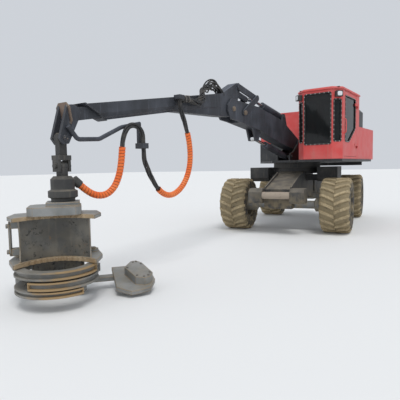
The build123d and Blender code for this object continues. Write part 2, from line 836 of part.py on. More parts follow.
# Stick, in its own line: x along the tube from the elbow pin

stick_frame = Location((ELBOW[0], 0, ELBOW[1]), (0, -STICK_ANGLE, 0))
ear_run = EAR[0] - ELBOW[0]
ear_rise = EAR[1] - ELBOW[1]
lean = radians(STICK_ANGLE)
ear_x = ear_run * cos(lean) + ear_rise * sin(lean)
ear_z = ear_rise * cos(lean) - ear_run * sin(lean)
tip_x = (TIP[0] - ELBOW[0]) * cos(lean) + (TIP[1] - ELBOW[1]) * sin(lean)
tip_z = (TIP[1] - ELBOW[1]) * cos(lean) - (TIP[0] - ELBOW[0]) * sin(lean)
tube_top = TUBE_AXIS + TUBE_DEPTH / 2
tube_bottom = TUBE_AXIS - TUBE_DEPTH / 2
with BuildPart() as outer_boom:
    with BuildSketch(Plane.XZ):
        with BuildLine():
            Polyline(
                (-60, -150),
                (60, -150),
                (420, -110),
                (1850, tube_bottom),
                (OUTER_END, tube_bottom),
                (OUTER_END, tube_top),
                (300, tube_top),
                (ear_x + 70, ear_z + 90),
                (ear_x - 50, ear_z + 90),
                (ear_x - 95, ear_z),
                (-160, -40),
                close=True,
            )
        make_face()
    extrude(amount=ROOT_HALF, both=True)
    with BuildSketch(Plane.XZ):
        with BuildLine():
            Polyline(
                (420, -110),
                (1850, tube_bottom),
                (OUTER_END, tube_bottom),
                (OUTER_END, tube_top),
                (420, tube_top),
                close=True,
            )
        make_face()
    extrude(amount=TUBE_HALF, both=True)
    with Locations(((INNER_START - 100 + OUTER_END - 150) / 2, 0, TUBE_AXIS)):
        Box(
            OUTER_END - 150 - INNER_START + 100,
            2 * (TUBE_HALF - TUBE_WALL),
            TUBE_DEPTH - 2 * TUBE_WALL,
            mode=Mode.SUBTRACT,
        )
    with Locations((OUTER_END, 0, TUBE_AXIS)):
        Box(400, 2 * (INNER_HALF + SEAT), INNER_DEPTH + 2 * SEAT, mode=Mode.SUBTRACT)
    Cylinder(55 + SEAT, 4 * ROOT_HALF, rotation=(90, 0, 0), mode=Mode.SUBTRACT)
    # end collar
    with Locations((OUTER_END - 60, 0, TUBE_AXIS)):
        Box(120, 2 * TUBE_HALF + 36, TUBE_DEPTH + 36)
        Box(400, 2 * (INNER_HALF + SEAT), INNER_DEPTH + 2 * SEAT, mode=Mode.SUBTRACT)
keep("outer_boom", outer_boom.part.moved(stick_frame))

with BuildPart() as inner_boom:
    with Locations(((INNER_START + INNER_END) / 2, 0, TUBE_AXIS)):
        Box(INNER_END - INNER_START, 2 * INNER_HALF, INNER_DEPTH)
    with BuildSketch(side_plane(EYE_HALF + 15)):
        with BuildLine():
            Polyline(
                (OUTER_END + 60, TUBE_AXIS),
                (tip_x - 90, tip_z - 10),
                (tip_x - 40, tip_z - 75),
                (tip_x + 40, tip_z - 75),
                (tip_x + 85, tip_z + 10),
                (INNER_END + 20, TUBE_AXIS + INNER_DEPTH / 2 + 40),
                (INNER_END - 60, TUBE_AXIS + INNER_DEPTH / 2 + 40),
                (OUTER_END + 90, TUBE_AXIS + INNER_DEPTH / 2),
                close=True,
            )
        make_face()
    extrude(amount=-40)
    mirror(about=Plane.XZ)
    with Locations((tip_x, 0, tip_z)):
        Cylinder(38, 2 * (EYE_HALF + 70), rotation=(90, 0, 0))
keep("inner_boom", inner_boom.part.moved(stick_frame))

# Hose arm: a bent bar from the tip's left cheek back under the tube, with the hose clamp

with BuildPart() as hose_arm:
    with BuildLine() as arm_line:
        FilletPolyline(
            (7800, HOSE_ARM_Y, 2200),
            (7660, HOSE_ARM_Y, 2040),
            (7300, HOSE_ARM_Y, 2060),
            (6880, HOSE_ARM_Y, 2250),
            (6500, HOSE_ARM_Y, 2330),
            radius=(90, 150, 300),
        )
    with BuildSketch(Plane(origin=arm_line.line @ 0, z_dir=arm_line.line % 0)):
        Circle(30)
    sweep()
    with Locations((CLAMP_X, HOSE_ARM_Y, 2330)):
        Box(50, 50, 2330 - CLAMP_Z, align=(Align.CENTER, Align.CENTER, Align.MAX))
    with Locations((CLAMP_X, HOSE_ARM_Y - 30, CLAMP_Z)):
        Box(110, 170, CLAMP_HEIGHT, align=(Align.CENTER, Align.MIN, Align.CENTER))
keep("hose_arm", hose_arm.part)

# Hose guide: the block on the tube's left side that the boom's hoses leave

with BuildPart() as hose_guide:
    with Locations((GUIDE[0], TUBE_HALF + SEAT, GUIDE[1] + SEAT)):
        Box(130, 130, 70, align=(Align.CENTER, Align.MIN, Align.MIN))
keep("hose_guide", hose_guide.part)

# Hanger: the eye on the tip's pin and the fork for the crossing pin

with BuildPart() as hanger:
    with Locations((TIP[0], 0, TIP[1])):
        Cylinder(75, 2 * EYE_HALF, rotation=(90, 0, 0))
    with Locations((TIP[0], 0, (TIP[1] + CROSS_PIN_Z) / 2 + 20)):
        Box(110, 2 * EYE_HALF, TIP[1] - CROSS_PIN_Z - 110)
    with Locations((TIP[0], 0, CROSS_PIN_Z + 105)):
        Box(190, 150, 60)
    with Locations((TIP[0] + 75, 0, CROSS_PIN_Z), (TIP[0] - 75, 0, CROSS_PIN_Z)):
        Box(36, 130, 150)
    with Locations((TIP[0], 0, CROSS_PIN_Z)):
        Cylinder(34, 240, rotation=(0, 90, 0))
    with Locations((TIP[0], 0, TIP[1])):
        Cylinder(38 + SEAT, 4 * EYE_HALF, rotation=(90, 0, 0), mode=Mode.SUBTRACT)
keep("hanger", hanger.part)

# Rotator: the eye on the crossing pin, the ribbed body and the hose inlets

with BuildPart() as rotator:
    with Locations((TIP[0], 0, CROSS_PIN_Z)):
        Cylinder(62, 100, rotation=(0, 90, 0))
    with Locations((TIP[0], 0, CROSS_PIN_Z - 90)):
        Box(90, 120, 120)
    with BuildSketch(Plane.XZ):
        with BuildLine():
            Polyline(
                (TIP[0], 1570),
                (TIP[0] + 110, 1570),
                (TIP[0] + 150, 1530),
                (TIP[0] + 150, 1400),
                (TIP[0] + 185, 1380),
                (TIP[0] + 185, 1300),
                (TIP[0] + 150, 1285),
                (TIP[0] + 150, 1245 + SEAT),
                (TIP[0], 1245 + SEAT),
                close=True,
            )
        make_face()
    revolve(axis=Axis((TIP[0], 0, 0), (0, 0, 1)))
    gland_end = Vector(*HEAD_HOSE[-1])
    gland_line = (gland_end - Vector(*HEAD_HOSE[-2])).normalized()
    with Locations(Plane(origin=gland_end + gland_line * SEAT, z_dir=gland_line)):
        Cylinder(58, 110, align=(Align.CENTER, Align.CENTER, Align.MIN))
    with Locations((TIP[0], 0, CROSS_PIN_Z)):
        Cylinder(34 + SEAT, 300, rotation=(0, 90, 0), mode=Mode.SUBTRACT)
keep("rotator", rotator.part)

# Felling head, drawn with its opening towards +X about the rotator's axis and then turned

head_place = Location((TIP[0], 0, 0), (0, 0, HEAD_TURN)) * Location((*HEAD_SHIFT, 0))
with BuildPart() as head_frame:
    with Locations((-HEAD_SHIFT[0], -HEAD_SHIFT[1], HEAD_TOP)):
        Cylinder(200, 45, align=(Align.CENTER, Align.CENTER, Align.MIN))
    with Locations((-40, 0, 1090)):
        Box(560, 640, 110, align=(Align.CENTER, Align.CENTER, Align.MIN))
    # top and bottom plates
    for low, thick, reach in ((1045, 45, 330), (500, 50, 400)):
        with BuildSketch(Plane.XY.offset(low)):
            with BuildLine():
                Polyline(
                    (-420, -260),
                    (-300, -520),
                    (60, -560),
                    (reach, -470),
                    (reach - 60, -330),
                    (110, -230),
                    (60, 0),
                    (110, 230),
                    (reach - 60, 330),
                    (reach, 470),
                    (60, 560),
                    (-300, 520),
                    (-420, 260),
                    close=True,
                )
            make_face()
        extrude(amount=thick)
    # back column with its hollow front
    with BuildSketch(Plane.XY.offset(HEAD_BOTTOM + 20)):
        with BuildLine():
            Polyline(
                (-400, -250),
                (-120, -330),
                (-90, -300),
                (-170, -120),
                (-170, 120),
                (-90, 300),
                (-120, 330),
                (-400, 250),
                close=True,
            )
        make_face()
    extrude(amount=1000)
    # foot shoe
    with Locations((-200, 0, HEAD_BOTTOM)):
        Box(420, 2 * SHOE_HALF, 120, align=(Align.CENTER, Align.CENTER, Align.MIN))
    # arm pins
    with Locations((ARM_PIN[0], ARM_PIN[1], 186), (ARM_PIN[0], -ARM_PIN[1], 186)):
        Cylinder(40, 330, align=(Align.CENTER, Align.CENTER, Align.MIN))
keep("head_frame", head_frame.part.moved(head_place))

# Gathering arms: curved plates on the two arm pins, at three heights
# name, side, bottom, depth, sweep of the claw in degrees
for name, side, bottom, depth, sweep_angle in (
    ("upper_arm", -1, 400, 90, 200),
    ("lower_arm_left", 1, 290, 60, 165),
    ("lower_arm_right", -1, 190, 60, 165),
):
    centre = (150, 0)
    pin_angle = degrees(atan2(side * ARM_PIN[1] - centre[1], ARM_PIN[0] - centre[0]))
    ring_mid = (RING_INNER + RING_OUTER) / 2
    with BuildPart() as arm:
        with BuildSketch(Plane.XY.offset(bottom)):
            with Locations(centre):
                Circle(RING_OUTER - 60)
                Circle(RING_INNER - 20, mode=Mode.SUBTRACT)
            with BuildLine(mode=Mode.PRIVATE) as wedge:
                reach = 1400
                steps = [pin_angle - side * sweep_angle * part / 6 for part in range(7)]
                rim_points = [(centre[0] + reach * cos(radians(a)), centre[1] + reach * sin(radians(a))) for a in steps]
                Polyline(centre, *rim_points, close=True)
            add(make_face(wedge.edges(), mode=Mode.PRIVATE), mode=Mode.INTERSECT)
            with Locations((ARM_PIN[0], side * ARM_PIN[1])):
                Circle(95)
                Circle(40 + SEAT, mode=Mode.SUBTRACT)
        extrude(amount=depth)
    keep(name, arm.part.moved(head_place))

# Saw unit beside the opening: a thick plate that leans down to the front on an arm from
# the shoe, and the eight-sided box that stands on it

saw_lean = Location((0, 0, SAW_LEVEL), (0, SAW_LEAN, 0))
with BuildPart() as saw_box:
    with BuildSketch(Plane(saw_lean)):
        with BuildLine():
            Polyline(
                (-400, 700),
                (208, 713),
                (360, 885),
                (336, 1010),
                (290, 1145),
                (80, 1237),
                (-180, 1215),
                (-400, 1080),
                close=True,
            )
        make_face()
    extrude(amount=-SAW_PLATE)
    with BuildSketch(Plane(saw_lean)):
        with BuildLine():
            Polyline(
                (-138, 853),
                (-307, 957),
                (-320, 1030),
                (-241, 1102),
                (97, 1201),
                (199, 1152),
                (229, 1077),
                (179, 959),
                close=True,
            )
        make_face()
    extrude(amount=SAW_BOX)
    with Locations((-240, SHOE_HALF + SEAT, SAW_LEVEL - 55)):
        Box(140, 400, 60, align=(Align.CENTER, Align.MIN, Align.MIN))
keep("saw_box", saw_box.part.moved(head_place))

# Hoses: free tubes between the boom, the hose arm's clamp and the rotator


def cord_radii(points):
    """The largest arc that the two runs beside each point allow."""
    radii = []
    for before, here, after in zip(points, points[1:], points[2:]):
        first = Vector(*here) - Vector(*before)
        second = Vector(*after) - Vector(*here)
        turn = radians(first.get_angle(second))
        radii.append(0.45 * min(first.length, second.length) / tan(turn / 2))
    return radii


# The boom's hoses: a bundle from the guide, a thick sleeve, and a bundle up to the clamp.
# The head's hoses: a bundle over the clamp, then a sleeve that ends in the rotator's gland.
# hose, route, and for each piece its name, diameter and the last point before its joint
hose_routes = (
    (
        BOOM_HOSE,
        (("hose_bundle_boom", 70, 3), ("hose_sleeve_boom", 95, 10), ("hose_bundle_clamp", 70, None)),
    ),
    (
        HEAD_HOSE,
        (("hose_bundle_tip", 70, 6), ("hose_sleeve_tip", 95, None)),
    ),
)
for route, pieces in hose_routes:
    first = 0
    start = route[0]
    for name, diameter, last in pieces:
        if last is None:
            points = (start, *route[first + 1 :])
        else:
            end = tuple((here + there) / 2 for here, there in zip(route[last], route[last + 1]))
            points = (start, *route[first + 1 : last + 1], end)
        radii = cord_radii(points)
        with BuildPart() as hose:
            with BuildLine() as hose_line:
                FilletPolyline(*points, radius=radii)
            with BuildSketch(Plane(origin=hose_line.line @ 0, z_dir=hose_line.line % 0)):
                Circle(diameter / 2)
            sweep()
        run = hose_line.wire().length
        share = hose.part.volume / (pi * diameter**2 / 4 * run)
        print(name, "length", round(run, 1), "volume share", round(share, 4))
        print("  radii", [round(radius) for radius in radii])
        keep(name, hose.part)
        if last is not None:
            first = last
            start = end

# Stand the machine on the origin: centred in plan, on the ground

boxes = [shape.bounding_box() for shape in parts_made.values()]
middle_x = (min(box.min.X for box in boxes) + max(box.max.X for box in boxes)) / 2
middle_y = (min(box.min.Y for box in boxes) + max(box.max.Y for box in boxes)) / 2
shift = (-middle_x, -middle_y, -min(box.min.Z for box in boxes))
print("shift", [round(value, 3) for value in shift])

os.makedirs("parts", exist_ok=True)
for name, shape in parts_made.items():
    piece = shape.moved(Location(shift))
    piece.label = name
    export_step(piece, "parts/" + name + ".step")
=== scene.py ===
import bmesh
import bpy
from math import atan2, cos, radians, sin, tau
import numpy as np
from mathutils import Matrix, Vector


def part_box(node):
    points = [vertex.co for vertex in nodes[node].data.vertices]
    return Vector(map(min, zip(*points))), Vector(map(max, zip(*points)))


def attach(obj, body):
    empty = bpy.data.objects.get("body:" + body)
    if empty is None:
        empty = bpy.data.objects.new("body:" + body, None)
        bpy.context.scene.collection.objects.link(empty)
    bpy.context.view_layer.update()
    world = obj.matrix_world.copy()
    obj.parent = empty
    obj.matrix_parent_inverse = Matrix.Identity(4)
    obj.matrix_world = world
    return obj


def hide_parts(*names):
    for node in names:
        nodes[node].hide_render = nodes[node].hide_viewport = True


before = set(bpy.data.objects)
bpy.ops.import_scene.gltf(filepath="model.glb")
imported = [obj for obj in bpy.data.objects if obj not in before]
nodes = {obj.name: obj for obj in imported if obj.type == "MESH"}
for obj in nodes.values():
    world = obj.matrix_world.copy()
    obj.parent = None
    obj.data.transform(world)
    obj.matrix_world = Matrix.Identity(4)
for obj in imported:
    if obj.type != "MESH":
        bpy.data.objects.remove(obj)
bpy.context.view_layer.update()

# The swing axis. Every place below is given from it, on the ground, in metres, +X along the boom.
ring_low, ring_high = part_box("turntable_ring")
SWING = np.array([(ring_low.x + ring_high.x) / 2, (ring_low.y + ring_high.y) / 2, 0.0])

# Camera: at a standing person's eye, before the felling head, turned to the cab. Its place and
# turn were fitted to the photo with the tyres' real height.

CAMERA_PLACE = (11.0832, 4.5017, 1.6433)
CAMERA_YAW = 0.61953
CAMERA_PITCH = -0.07867
CAMERA_ROLL = -0.01827
FOCAL_PIXELS = 407.8
PHOTO_PIXELS = 400
SENSOR_MM = 36

camera = bpy.data.objects.new("camera", bpy.data.cameras.new("camera"))
bpy.context.scene.collection.objects.link(camera)
camera.data.sensor_width = SENSOR_MM
camera.data.lens = SENSOR_MM * FOCAL_PIXELS / PHOTO_PIXELS
camera.matrix_world = Matrix.Translation(SWING + CAMERA_PLACE)
for angle, letter in ((tau / 4 + CAMERA_YAW, "Z"), (tau / 4 + CAMERA_PITCH, "X"), (CAMERA_ROLL, "Z")):
    camera.matrix_world = camera.matrix_world @ Matrix.Rotation(angle, 4, letter)
bpy.context.scene.camera = camera
bpy.context.scene.view_settings.view_transform = "Standard"

# Boom and head hoses. Pressure hoses in rubber lie together in a bundle, and on the two long
# free loops a coiled guard strip of orange plastic is wound over them. The boom's loop hangs
# from the guide on the tube to the clamp, and the head's goes over the clamp to the rotator.

BOOM_ROUTE = (
    (5.585, 0.195, 2.800), (5.585, 0.195, 2.690), (5.545, 0.215, 2.550), (5.480, 0.235, 2.360),
    (5.410, 0.245, 2.130), (5.370, 0.240, 1.880), (5.390, 0.230, 1.640), (5.490, 0.215, 1.420),
    (5.670, 0.205, 1.260), (5.900, 0.205, 1.190), (6.120, 0.210, 1.250), (6.290, 0.218, 1.400),
    (6.410, 0.222, 1.570), (6.490, 0.217, 1.720), (6.520, 0.217, 1.840), (6.520, 0.217, 1.9497),
)
HEAD_ROUTE = (
    (6.520, 0.217, 2.0303), (6.520, 0.217, 2.150), (6.590, 0.217, 2.250), (6.705, 0.216, 2.292),
    (6.825, 0.216, 2.262), (6.905, 0.216, 2.165), (6.945, 0.216, 2.035), (6.965, 0.215, 1.880),
    (6.985, 0.212, 1.720), (7.010, 0.185, 1.540), (7.090, 0.165, 1.380), (7.220, 0.140, 1.290),
    (7.370, 0.110, 1.290), (7.500, 0.080, 1.360), (7.600, 0.060, 1.450),
)


class Tone:
    """A socket in a material. Sums, differences and products of tones add Math nodes."""

    def __init__(self, tree, socket):
        self.tree = tree
        self.socket = socket

    def add(self, kind, links=(), out=0, **settings):
        """One more node in the same material, with settings, and values or links for its sockets."""
        node = self.tree.nodes.new(kind)
        for setting, value in settings.items():
            setattr(node, setting, value)
        for name, value in dict(links).items():
            if isinstance(value, Tone):
                self.tree.links.new(value.socket, node.inputs[name])
            else:
                node.inputs[name].default_value = value
        return Tone(self.tree, node.outputs[out])

    def math(self, operation, first, second):
        return self.add("ShaderNodeMath", {0: first, 1: second}, operation=operation)

    def __add__(self, other):
        return self.math("ADD", self, other)

    def __radd__(self, other):
        return self.math("ADD", other, self)

    def __sub__(self, other):
        return self.math("SUBTRACT", self, other)

    def __rsub__(self, other):
        return self.math("SUBTRACT", other, self)

    def __mul__(self, other):
        return self.math("MULTIPLY", self, other)

    def axis(self, letter):
        """One of the three numbers of these coordinates."""
        return self.add("ShaderNodeSeparateXYZ", {0: self}, out=letter)

    def between(self, low, high):
        """0 below low, 1 above high, and a smooth step from one to the other."""
        ends = {"Value": self, "From Min": low, "From Max": high}
        return self.add("ShaderNodeMapRange", ends, interpolation_type="SMOOTHSTEP")

    def mix(self, first, second):
        """The first colour where this tone is 0, the second where it is 1."""
        first, second = (value if isinstance(value, Tone) else (*value, 1) for value in (first, second))
        return self.add("ShaderNodeMix", {0: self, 6: first, 7: second}, out=2, data_type="RGBA")

    def noise(self, scale, detail=4, roughness=0.55):
        """Cloudy noise from 0 to 1 over these coordinates, with so many cells to a metre."""
        cloud = {"Vector": self, "Scale": scale, "Detail": detail, "Roughness": roughness}
        return self.add("ShaderNodeTexNoise", cloud)


def coordinates(finish, kind="Object"):
    """A material's own coordinates, or with kind UV the pair that skin() stored at a point."""
    return Tone(finish.node_tree, finish.node_tree.nodes["Texture Coordinate"].outputs[kind])


def material(name):
    """An empty material with its shader, and the piece's own coordinates."""
    made = bpy.data.materials.new(name)
    made.use_nodes = True
    made.node_tree.nodes.new("ShaderNodeTexCoord")
    return made, made.node_tree.nodes["Principled BSDF"], coordinates(made)


def feed(shader, tone_or_value, name):
    """Link a tone, or set a plain value, on one of the shader's sockets."""
    if isinstance(tone_or_value, Tone):
        tone_or_value.tree.links.new(tone_or_value.socket, shader.inputs[name])
    else:
        shader.inputs[name].default_value = tone_or_value


def coat(shader, colour, roughness):
    """A finish's colour and its roughness."""
    feed(shader, colour, "Base Color")
    feed(shader, roughness, "Roughness")


def bump(place, shader, height, depth):
    """Raise the surface by a height tone times a depth in metres."""
    raised = place.add("ShaderNodeBump", {"Height": height, "Distance": depth, "Strength": 1.0})
    feed(shader, raised, "Normal")


def cells(grid, round_rows, round_columns):
    """The corner numbers of each cell of a grid, whose rows or columns may run round and close."""
    rows, columns = grid.shape[:2]
    index = np.arange(rows * columns).reshape(rows, columns)
    if round_rows:
        index = np.vstack((index, index[:1]))
    if round_columns:
        index = np.hstack((index, index[:, :1]))
    corners = (index[:-1, :-1], index[:-1, 1:], index[1:, 1:], index[1:, :-1])
    return np.stack(corners, axis=-1).reshape(-1, 4)


SEAM = 2e-5


def skin(name, grids, finish, body, round_rows=False, round_columns=True, smooth=True, uv=None, sheet=False):
    """A piece over grids of points, one quad to a cell, with seams and poles joined and faces turned out."""
    starts = np.cumsum([0] + [grid.shape[0] * grid.shape[1] for grid in grids])
    parts = [cells(grid, round_rows, round_columns) + start for grid, start in zip(grids, starts)]
    quads = np.concatenate(parts)
    points = np.concatenate([grid.reshape(-1, 3) for grid in grids]) + SWING
    mesh = bpy.data.meshes.new(name)
    mesh.from_pydata(points.tolist(), [], quads.tolist())
    if uv is not None:
        layer = mesh.uv_layers.new(name="run")
        layer.data.foreach_set("uv", uv.reshape(-1, 2)[quads.reshape(-1)].astype(np.float32).reshape(-1))
    mesh.polygons.foreach_set("use_smooth", np.full(len(quads), smooth))
    form = bmesh.new()
    form.from_mesh(mesh)
    bmesh.ops.remove_doubles(form, verts=form.verts, dist=SEAM)
    if not sheet:
        bmesh.ops.recalc_face_normals(form, faces=form.faces)
    form.to_mesh(mesh)
    form.free()
    mesh.materials.append(finish)
    piece = bpy.data.objects.new(name, mesh)
    bpy.context.scene.collection.objects.link(piece)
    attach(piece, body)
    return piece


def route_line(route):
    """The points of the smooth NURBS line that a hose's route controls."""
    curve = bpy.data.curves.new("route", "CURVE")
    curve.dimensions = "3D"
    curve.resolution_u = 10
    spline = curve.splines.new("NURBS")
    spline.points.add(len(route) - 1)
    spline.points.foreach_set("co", np.array([(*point, 1) for point in route]).reshape(-1))
    spline.order_u = 3
    spline.use_endpoint_u = True
    holder = bpy.data.objects.new("route", curve)
    mesh = bpy.data.meshes.new_from_object(holder)
    line = np.empty(len(mesh.vertices) * 3)
    mesh.vertices.foreach_get("co", line)
    bpy.data.objects.remove(holder)
    bpy.data.meshes.remove(mesh)
    bpy.data.curves.remove(curve)
    return line.reshape(-1, 3)


def along(line, step):
    """Evenly spaced points on a line, the run to each, and two directions square to the line."""
    run = np.concatenate(([0], np.cumsum(np.linalg.norm(np.diff(line, axis=0), axis=1))))
    spots = np.linspace(0, run[-1], int(run[-1] / step) + 1)
    centre = np.stack([np.interp(spots, run, line[:, axis]) for axis in range(3)], axis=-1)
    heading = np.gradient(centre, axis=0)
    heading /= np.linalg.norm(heading, axis=1, keepdims=True)
    side = np.array([0.0, 1.0, 0.0]) - heading * heading[:, 1:2]
    side /= np.linalg.norm(side, axis=1, keepdims=True)
    return centre, spots, side, np.cross(heading, side)


def joined(*coordinates):
    """Grids of points from their coordinates, spread over one another."""
    return np.stack(np.broadcast_arrays(*coordinates), axis=-1)


def full_turn(count):
    """Angles evenly spaced round a full turn."""
    return np.linspace(0, tau, count, endpoint=False)


def rings(side, over, angle):
    """A circle of directions at each point of a line: d(k, a) = side_k cos a + over_k sin a."""
    return side[:, None] * np.cos(angle)[None, :, None] + over[:, None] * np.sin(angle)[None, :, None]


def strands(line, places, radius, twist, step=0.012, slack=0.0):
    """Hoses side by side along a line, turning once in a twist and apart by slack sin^2 in the middle."""
    centre, run, side, over = along(line, step)
    ring = radius * rings(side, over, full_turn(12))
    apart = 1 + slack * np.sin(np.pi * run / run[-1]) ** 2
    tubes = []
    for distance, angle in places:
        turn = tau * run / twist + angle
        offset = side * (distance * apart * np.cos(turn))[:, None]
        offset += over * (distance * apart * np.sin(turn))[:, None]
        tubes.append((centre + offset)[:, None] + ring)
    return tubes


# rubber hose: dull black, dusty in patches, with a fine grain
hose_rubber, shader, spot = material("hose_rubber")
dust = spot.noise(6).between(0.42, 0.7)
coat(shader, dust.mix((0.018, 0.018, 0.019), (0.075, 0.068, 0.06)), 0.5 + dust * 0.3)
bump(spot, shader, spot.noise(400, 2), 0.0006)

# coiled guard: weathered orange plastic, with painted shade in the grooves between its turns
guard_plastic, shader, spot = material("guard_plastic")
groove = coordinates(guard_plastic, "UV").axis("Y")
orange = spot.noise(4).between(0.35, 0.7).mix((0.8, 0.13, 0.012), (0.85, 0.21, 0.045))
# painted shade: darker brown where the strip drops between its turns, broken up by noise
groove_shade = (groove * 0.9 + spot.noise(45) * 0.5).between(0.62, 1.15)
coat(shader, groove_shade.mix(orange, (0.1, 0.045, 0.028)), 0.45 + groove_shade * 0.4)
bump(spot, shader, spot.noise(220, 3), 0.0008)

BUNDLE = 0.07
GUARD = 0.095
GUARD_PITCH = 0.046
STRAND = 0.0145
STRAND_PLACES = tuple((BUNDLE / 2 - STRAND, tau * number / 5) for number in range(5))


def wound(line):
    """A guard strip wound round a line: r = R (0.86 + 0.14 d), where d drops between its turns."""
    centre, run, side, over = along(line, 0.004)
    angle = full_turn(40)
    phase = (run[:, None] / GUARD_PITCH - angle[None] / tau) % 1
    depth = 1 - np.clip((np.abs(phase - 0.5) - 0.34) / 0.1, 0, 1) ** 2
    radius = GUARD / 2 * (0.86 + 0.14 * depth)
    return centre[:, None] + radius[..., None] * rings(side, over, angle), joined(run[:, None], 1 - depth)


def split_route(route, number):
    """A route's two pieces, parted in the middle of the run after a point."""
    middle = tuple((here + there) / 2 for here, there in zip(route[number], route[number + 1]))
    return (*route[: number + 1], middle), (middle, *route[number + 1 :])


first, rest = split_route(BOOM_ROUTE, 3)
boom_guard, boom_end = split_route(rest, 7)
tip_start, tip_guard = split_route(HEAD_ROUTE, 6)
# name, route, body, length, whether it is guarded
for name, route, body, length, guarded in (
    ("hose_bundle_boom", first, "stick", 0.578, False),
    ("hose_sleeve_boom", boom_guard, "stick", 1.662, True),
    ("hose_bundle_clamp", boom_end, "stick", 0.723, False),
    ("hose_bundle_tip", tip_start, "extension", 0.812, False),
    ("hose_sleeve_tip", tip_guard, "hanger", 1.191, True),
):
    line = route_line(route)
    if guarded:
        grid, run_and_groove = wound(line)
        piece = skin(name + "_guard", [grid], guard_plastic, body, uv=run_and_groove)
    else:
        tubes = strands(line, STRAND_PLACES, STRAND, 1.3, slack=0.35)
        piece = skin(name + "_hoses", tubes, hose_rubber, body)
    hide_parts(name)
    SWING + route[0]

# Stage: a pale matt floor, under soft daylight from a wide lamp, a weaker one from the other side
# and an even sky.

FLOOR_HALF = 150.0
floor = bpy.data.objects.new("floor", bpy.data.meshes.new("floor"))
floor_corners = [(x * FLOOR_HALF, y * FLOOR_HALF, 0) for x, y in ((-1, -1), (1, -1), (1, 1), (-1, 1))]
floor.data.from_pydata(floor_corners, [], [(0, 1, 2, 3)])
bpy.context.scene.collection.objects.link(floor)
floor_finish, shader, spot = material("floor_finish")
coat(shader, (0.8, 0.8, 0.79, 1), 0.9)
feed(shader, 0.1, "Specular IOR Level")
floor.data.materials.append(floor_finish)

sky = bpy.data.worlds.new("sky")
sky.use_nodes = True
bpy.context.scene.world = sky
daylight = sky.node_tree.nodes["Background"].inputs
daylight["Color"].default_value = (0.82, 0.86, 0.92, 1)
daylight["Strength"].default_value = 0.75
# name, direction it comes from, strength, how wide in degrees
for name, towards, strength, wide in (
    ("sun_main", (0.45, 0.55, 1.3), 1.35, 25), ("sun_fill", (0.9, -0.6, 0.6), 0.3, 60),
):
    lamp = bpy.data.objects.new(name, bpy.data.lights.new(name, "SUN"))
    lamp.data.energy = strength
    lamp.data.angle = radians(wide)
    lamp.rotation_euler = Vector(towards).to_track_quat("Z", "Y").to_euler()
    bpy.context.scene.collection.objects.link(lamp)

# Boom, its cylinders, linkage and hose arm: welded plate under black paint, faded blue-black and dusty,
# with a painted blue-grey sky sheen on its upward faces, scratched to bare metal along its edges.
# The cylinders' rods are hard chrome.


def dress(finish, *names):
    """Give CAD pieces their finish."""
    for name in names:
        nodes[name].data.materials.clear()
        nodes[name].data.materials.append(finish)


MUD = (0.33, 0.26, 0.15)
DUST = (0.28, 0.24, 0.18)


def steel(name, paint, faded, worn, wear=0.35, dust=DUST, dusty=0.4, mud=0.0, rough=0.5, edge=0.012):
    """Painted steel: cloudy fading, bare metal on rounded edges, the dust colour on top (on the boom a
    painted blue-grey sky sheen), mud low down.
    """
    made, shader, spot = material(name)
    shape = spot.add("ShaderNodeNewGeometry", out="Normal")
    soft = spot.add("ShaderNodeBevel", {"Radius": edge}, samples=4)
    facing = spot.add("ShaderNodeVectorMath", {0: shape, 1: soft}, out="Value", operation="DOT_PRODUCT")
    edge_mask = (1 - facing).between(0.02, 0.16)
    grain = spot.noise(38, 6, 0.7)
    colour = spot.noise(3.1).between(0.35, 0.68).mix(paint, faded)
    streak = spot.add("ShaderNodeMapping", {"Vector": spot, "Scale": (9.0, 9.0, 1.1)})
    runs = streak.noise(2.2, 3).between(0.52, 0.75)
    colour = (runs * 0.16).mix(colour, dust)
    scratch = (edge_mask * 0.75 + grain * 0.55 + spot.noise(9) * 0.3 - 0.62).between(0.12, 0.3) * wear
    colour = scratch.mix(colour, worn)
    # upward faces take the dust colour: dust, and on the boom, where that colour is blue-grey, a painted sky
    # sheen
    lying = shape.axis("Z").between(0.55, 0.95) * (spot.noise(5).between(0.3, 0.75) * 0.7 + 0.3) * dusty
    colour = lying.mix(colour, dust)
    dull = scratch * 0.3 + lying
    if mud:
        low = (1 - spot.axis("Z").between(0.25, 1.35)) * spot.noise(7, 6).between(0.35, 0.62) * mud
        colour = low.mix(colour, MUD)
        dull = low + scratch * 0.3 + lying * 0.4
    coat(shader, colour, dull * 0.35 + (rough + grain * 0.15))
    feed(shader, scratch * 0.5, "Metallic")
    raised = {"Height": grain, "Distance": 0.0015, "Strength": 0.5, "Normal": soft}
    feed(shader, spot.add("ShaderNodeBump", raised), "Normal")
    return made


# painted sky sheen: the blue-grey that the boom takes on its upward faces, and faintly in streaks
dust_and_sky_sheen = (0.2, 0.22, 0.27)
boom_paint = steel(
    "boom_paint", (0.026, 0.029, 0.036), (0.048, 0.053, 0.066), (0.26, 0.24, 0.23), dusty=0.6, dust=dust_and_sky_sheen
)
dress(boom_paint, "main_boom", "inner_boom", "elbow_rocker", "elbow_link", "hose_arm", "hose_guide")
dress(boom_paint, "lift_cylinder_barrel", "stick_cylinder_barrel")
chrome, shader, spot = material("chrome")
smear = spot.noise(12).between(0.4, 0.75)
coat(shader, smear.mix((0.62, 0.63, 0.65), (0.4, 0.39, 0.37)), 0.18 + smear * 0.25)
feed(shader, 1.0, "Metallic")
dress(chrome, "lift_cylinder_rod", "stick_cylinder_rod")

# Pin locks: steel hexagon bolts in both ends of the boom's pins, which keep each pin from turning
# in its cheeks.

bolt_steel = steel(
    "bolt_steel", (0.09, 0.09, 0.09), (0.16, 0.15, 0.14), (0.3, 0.24, 0.18), wear=0.8, dusty=0.3
)


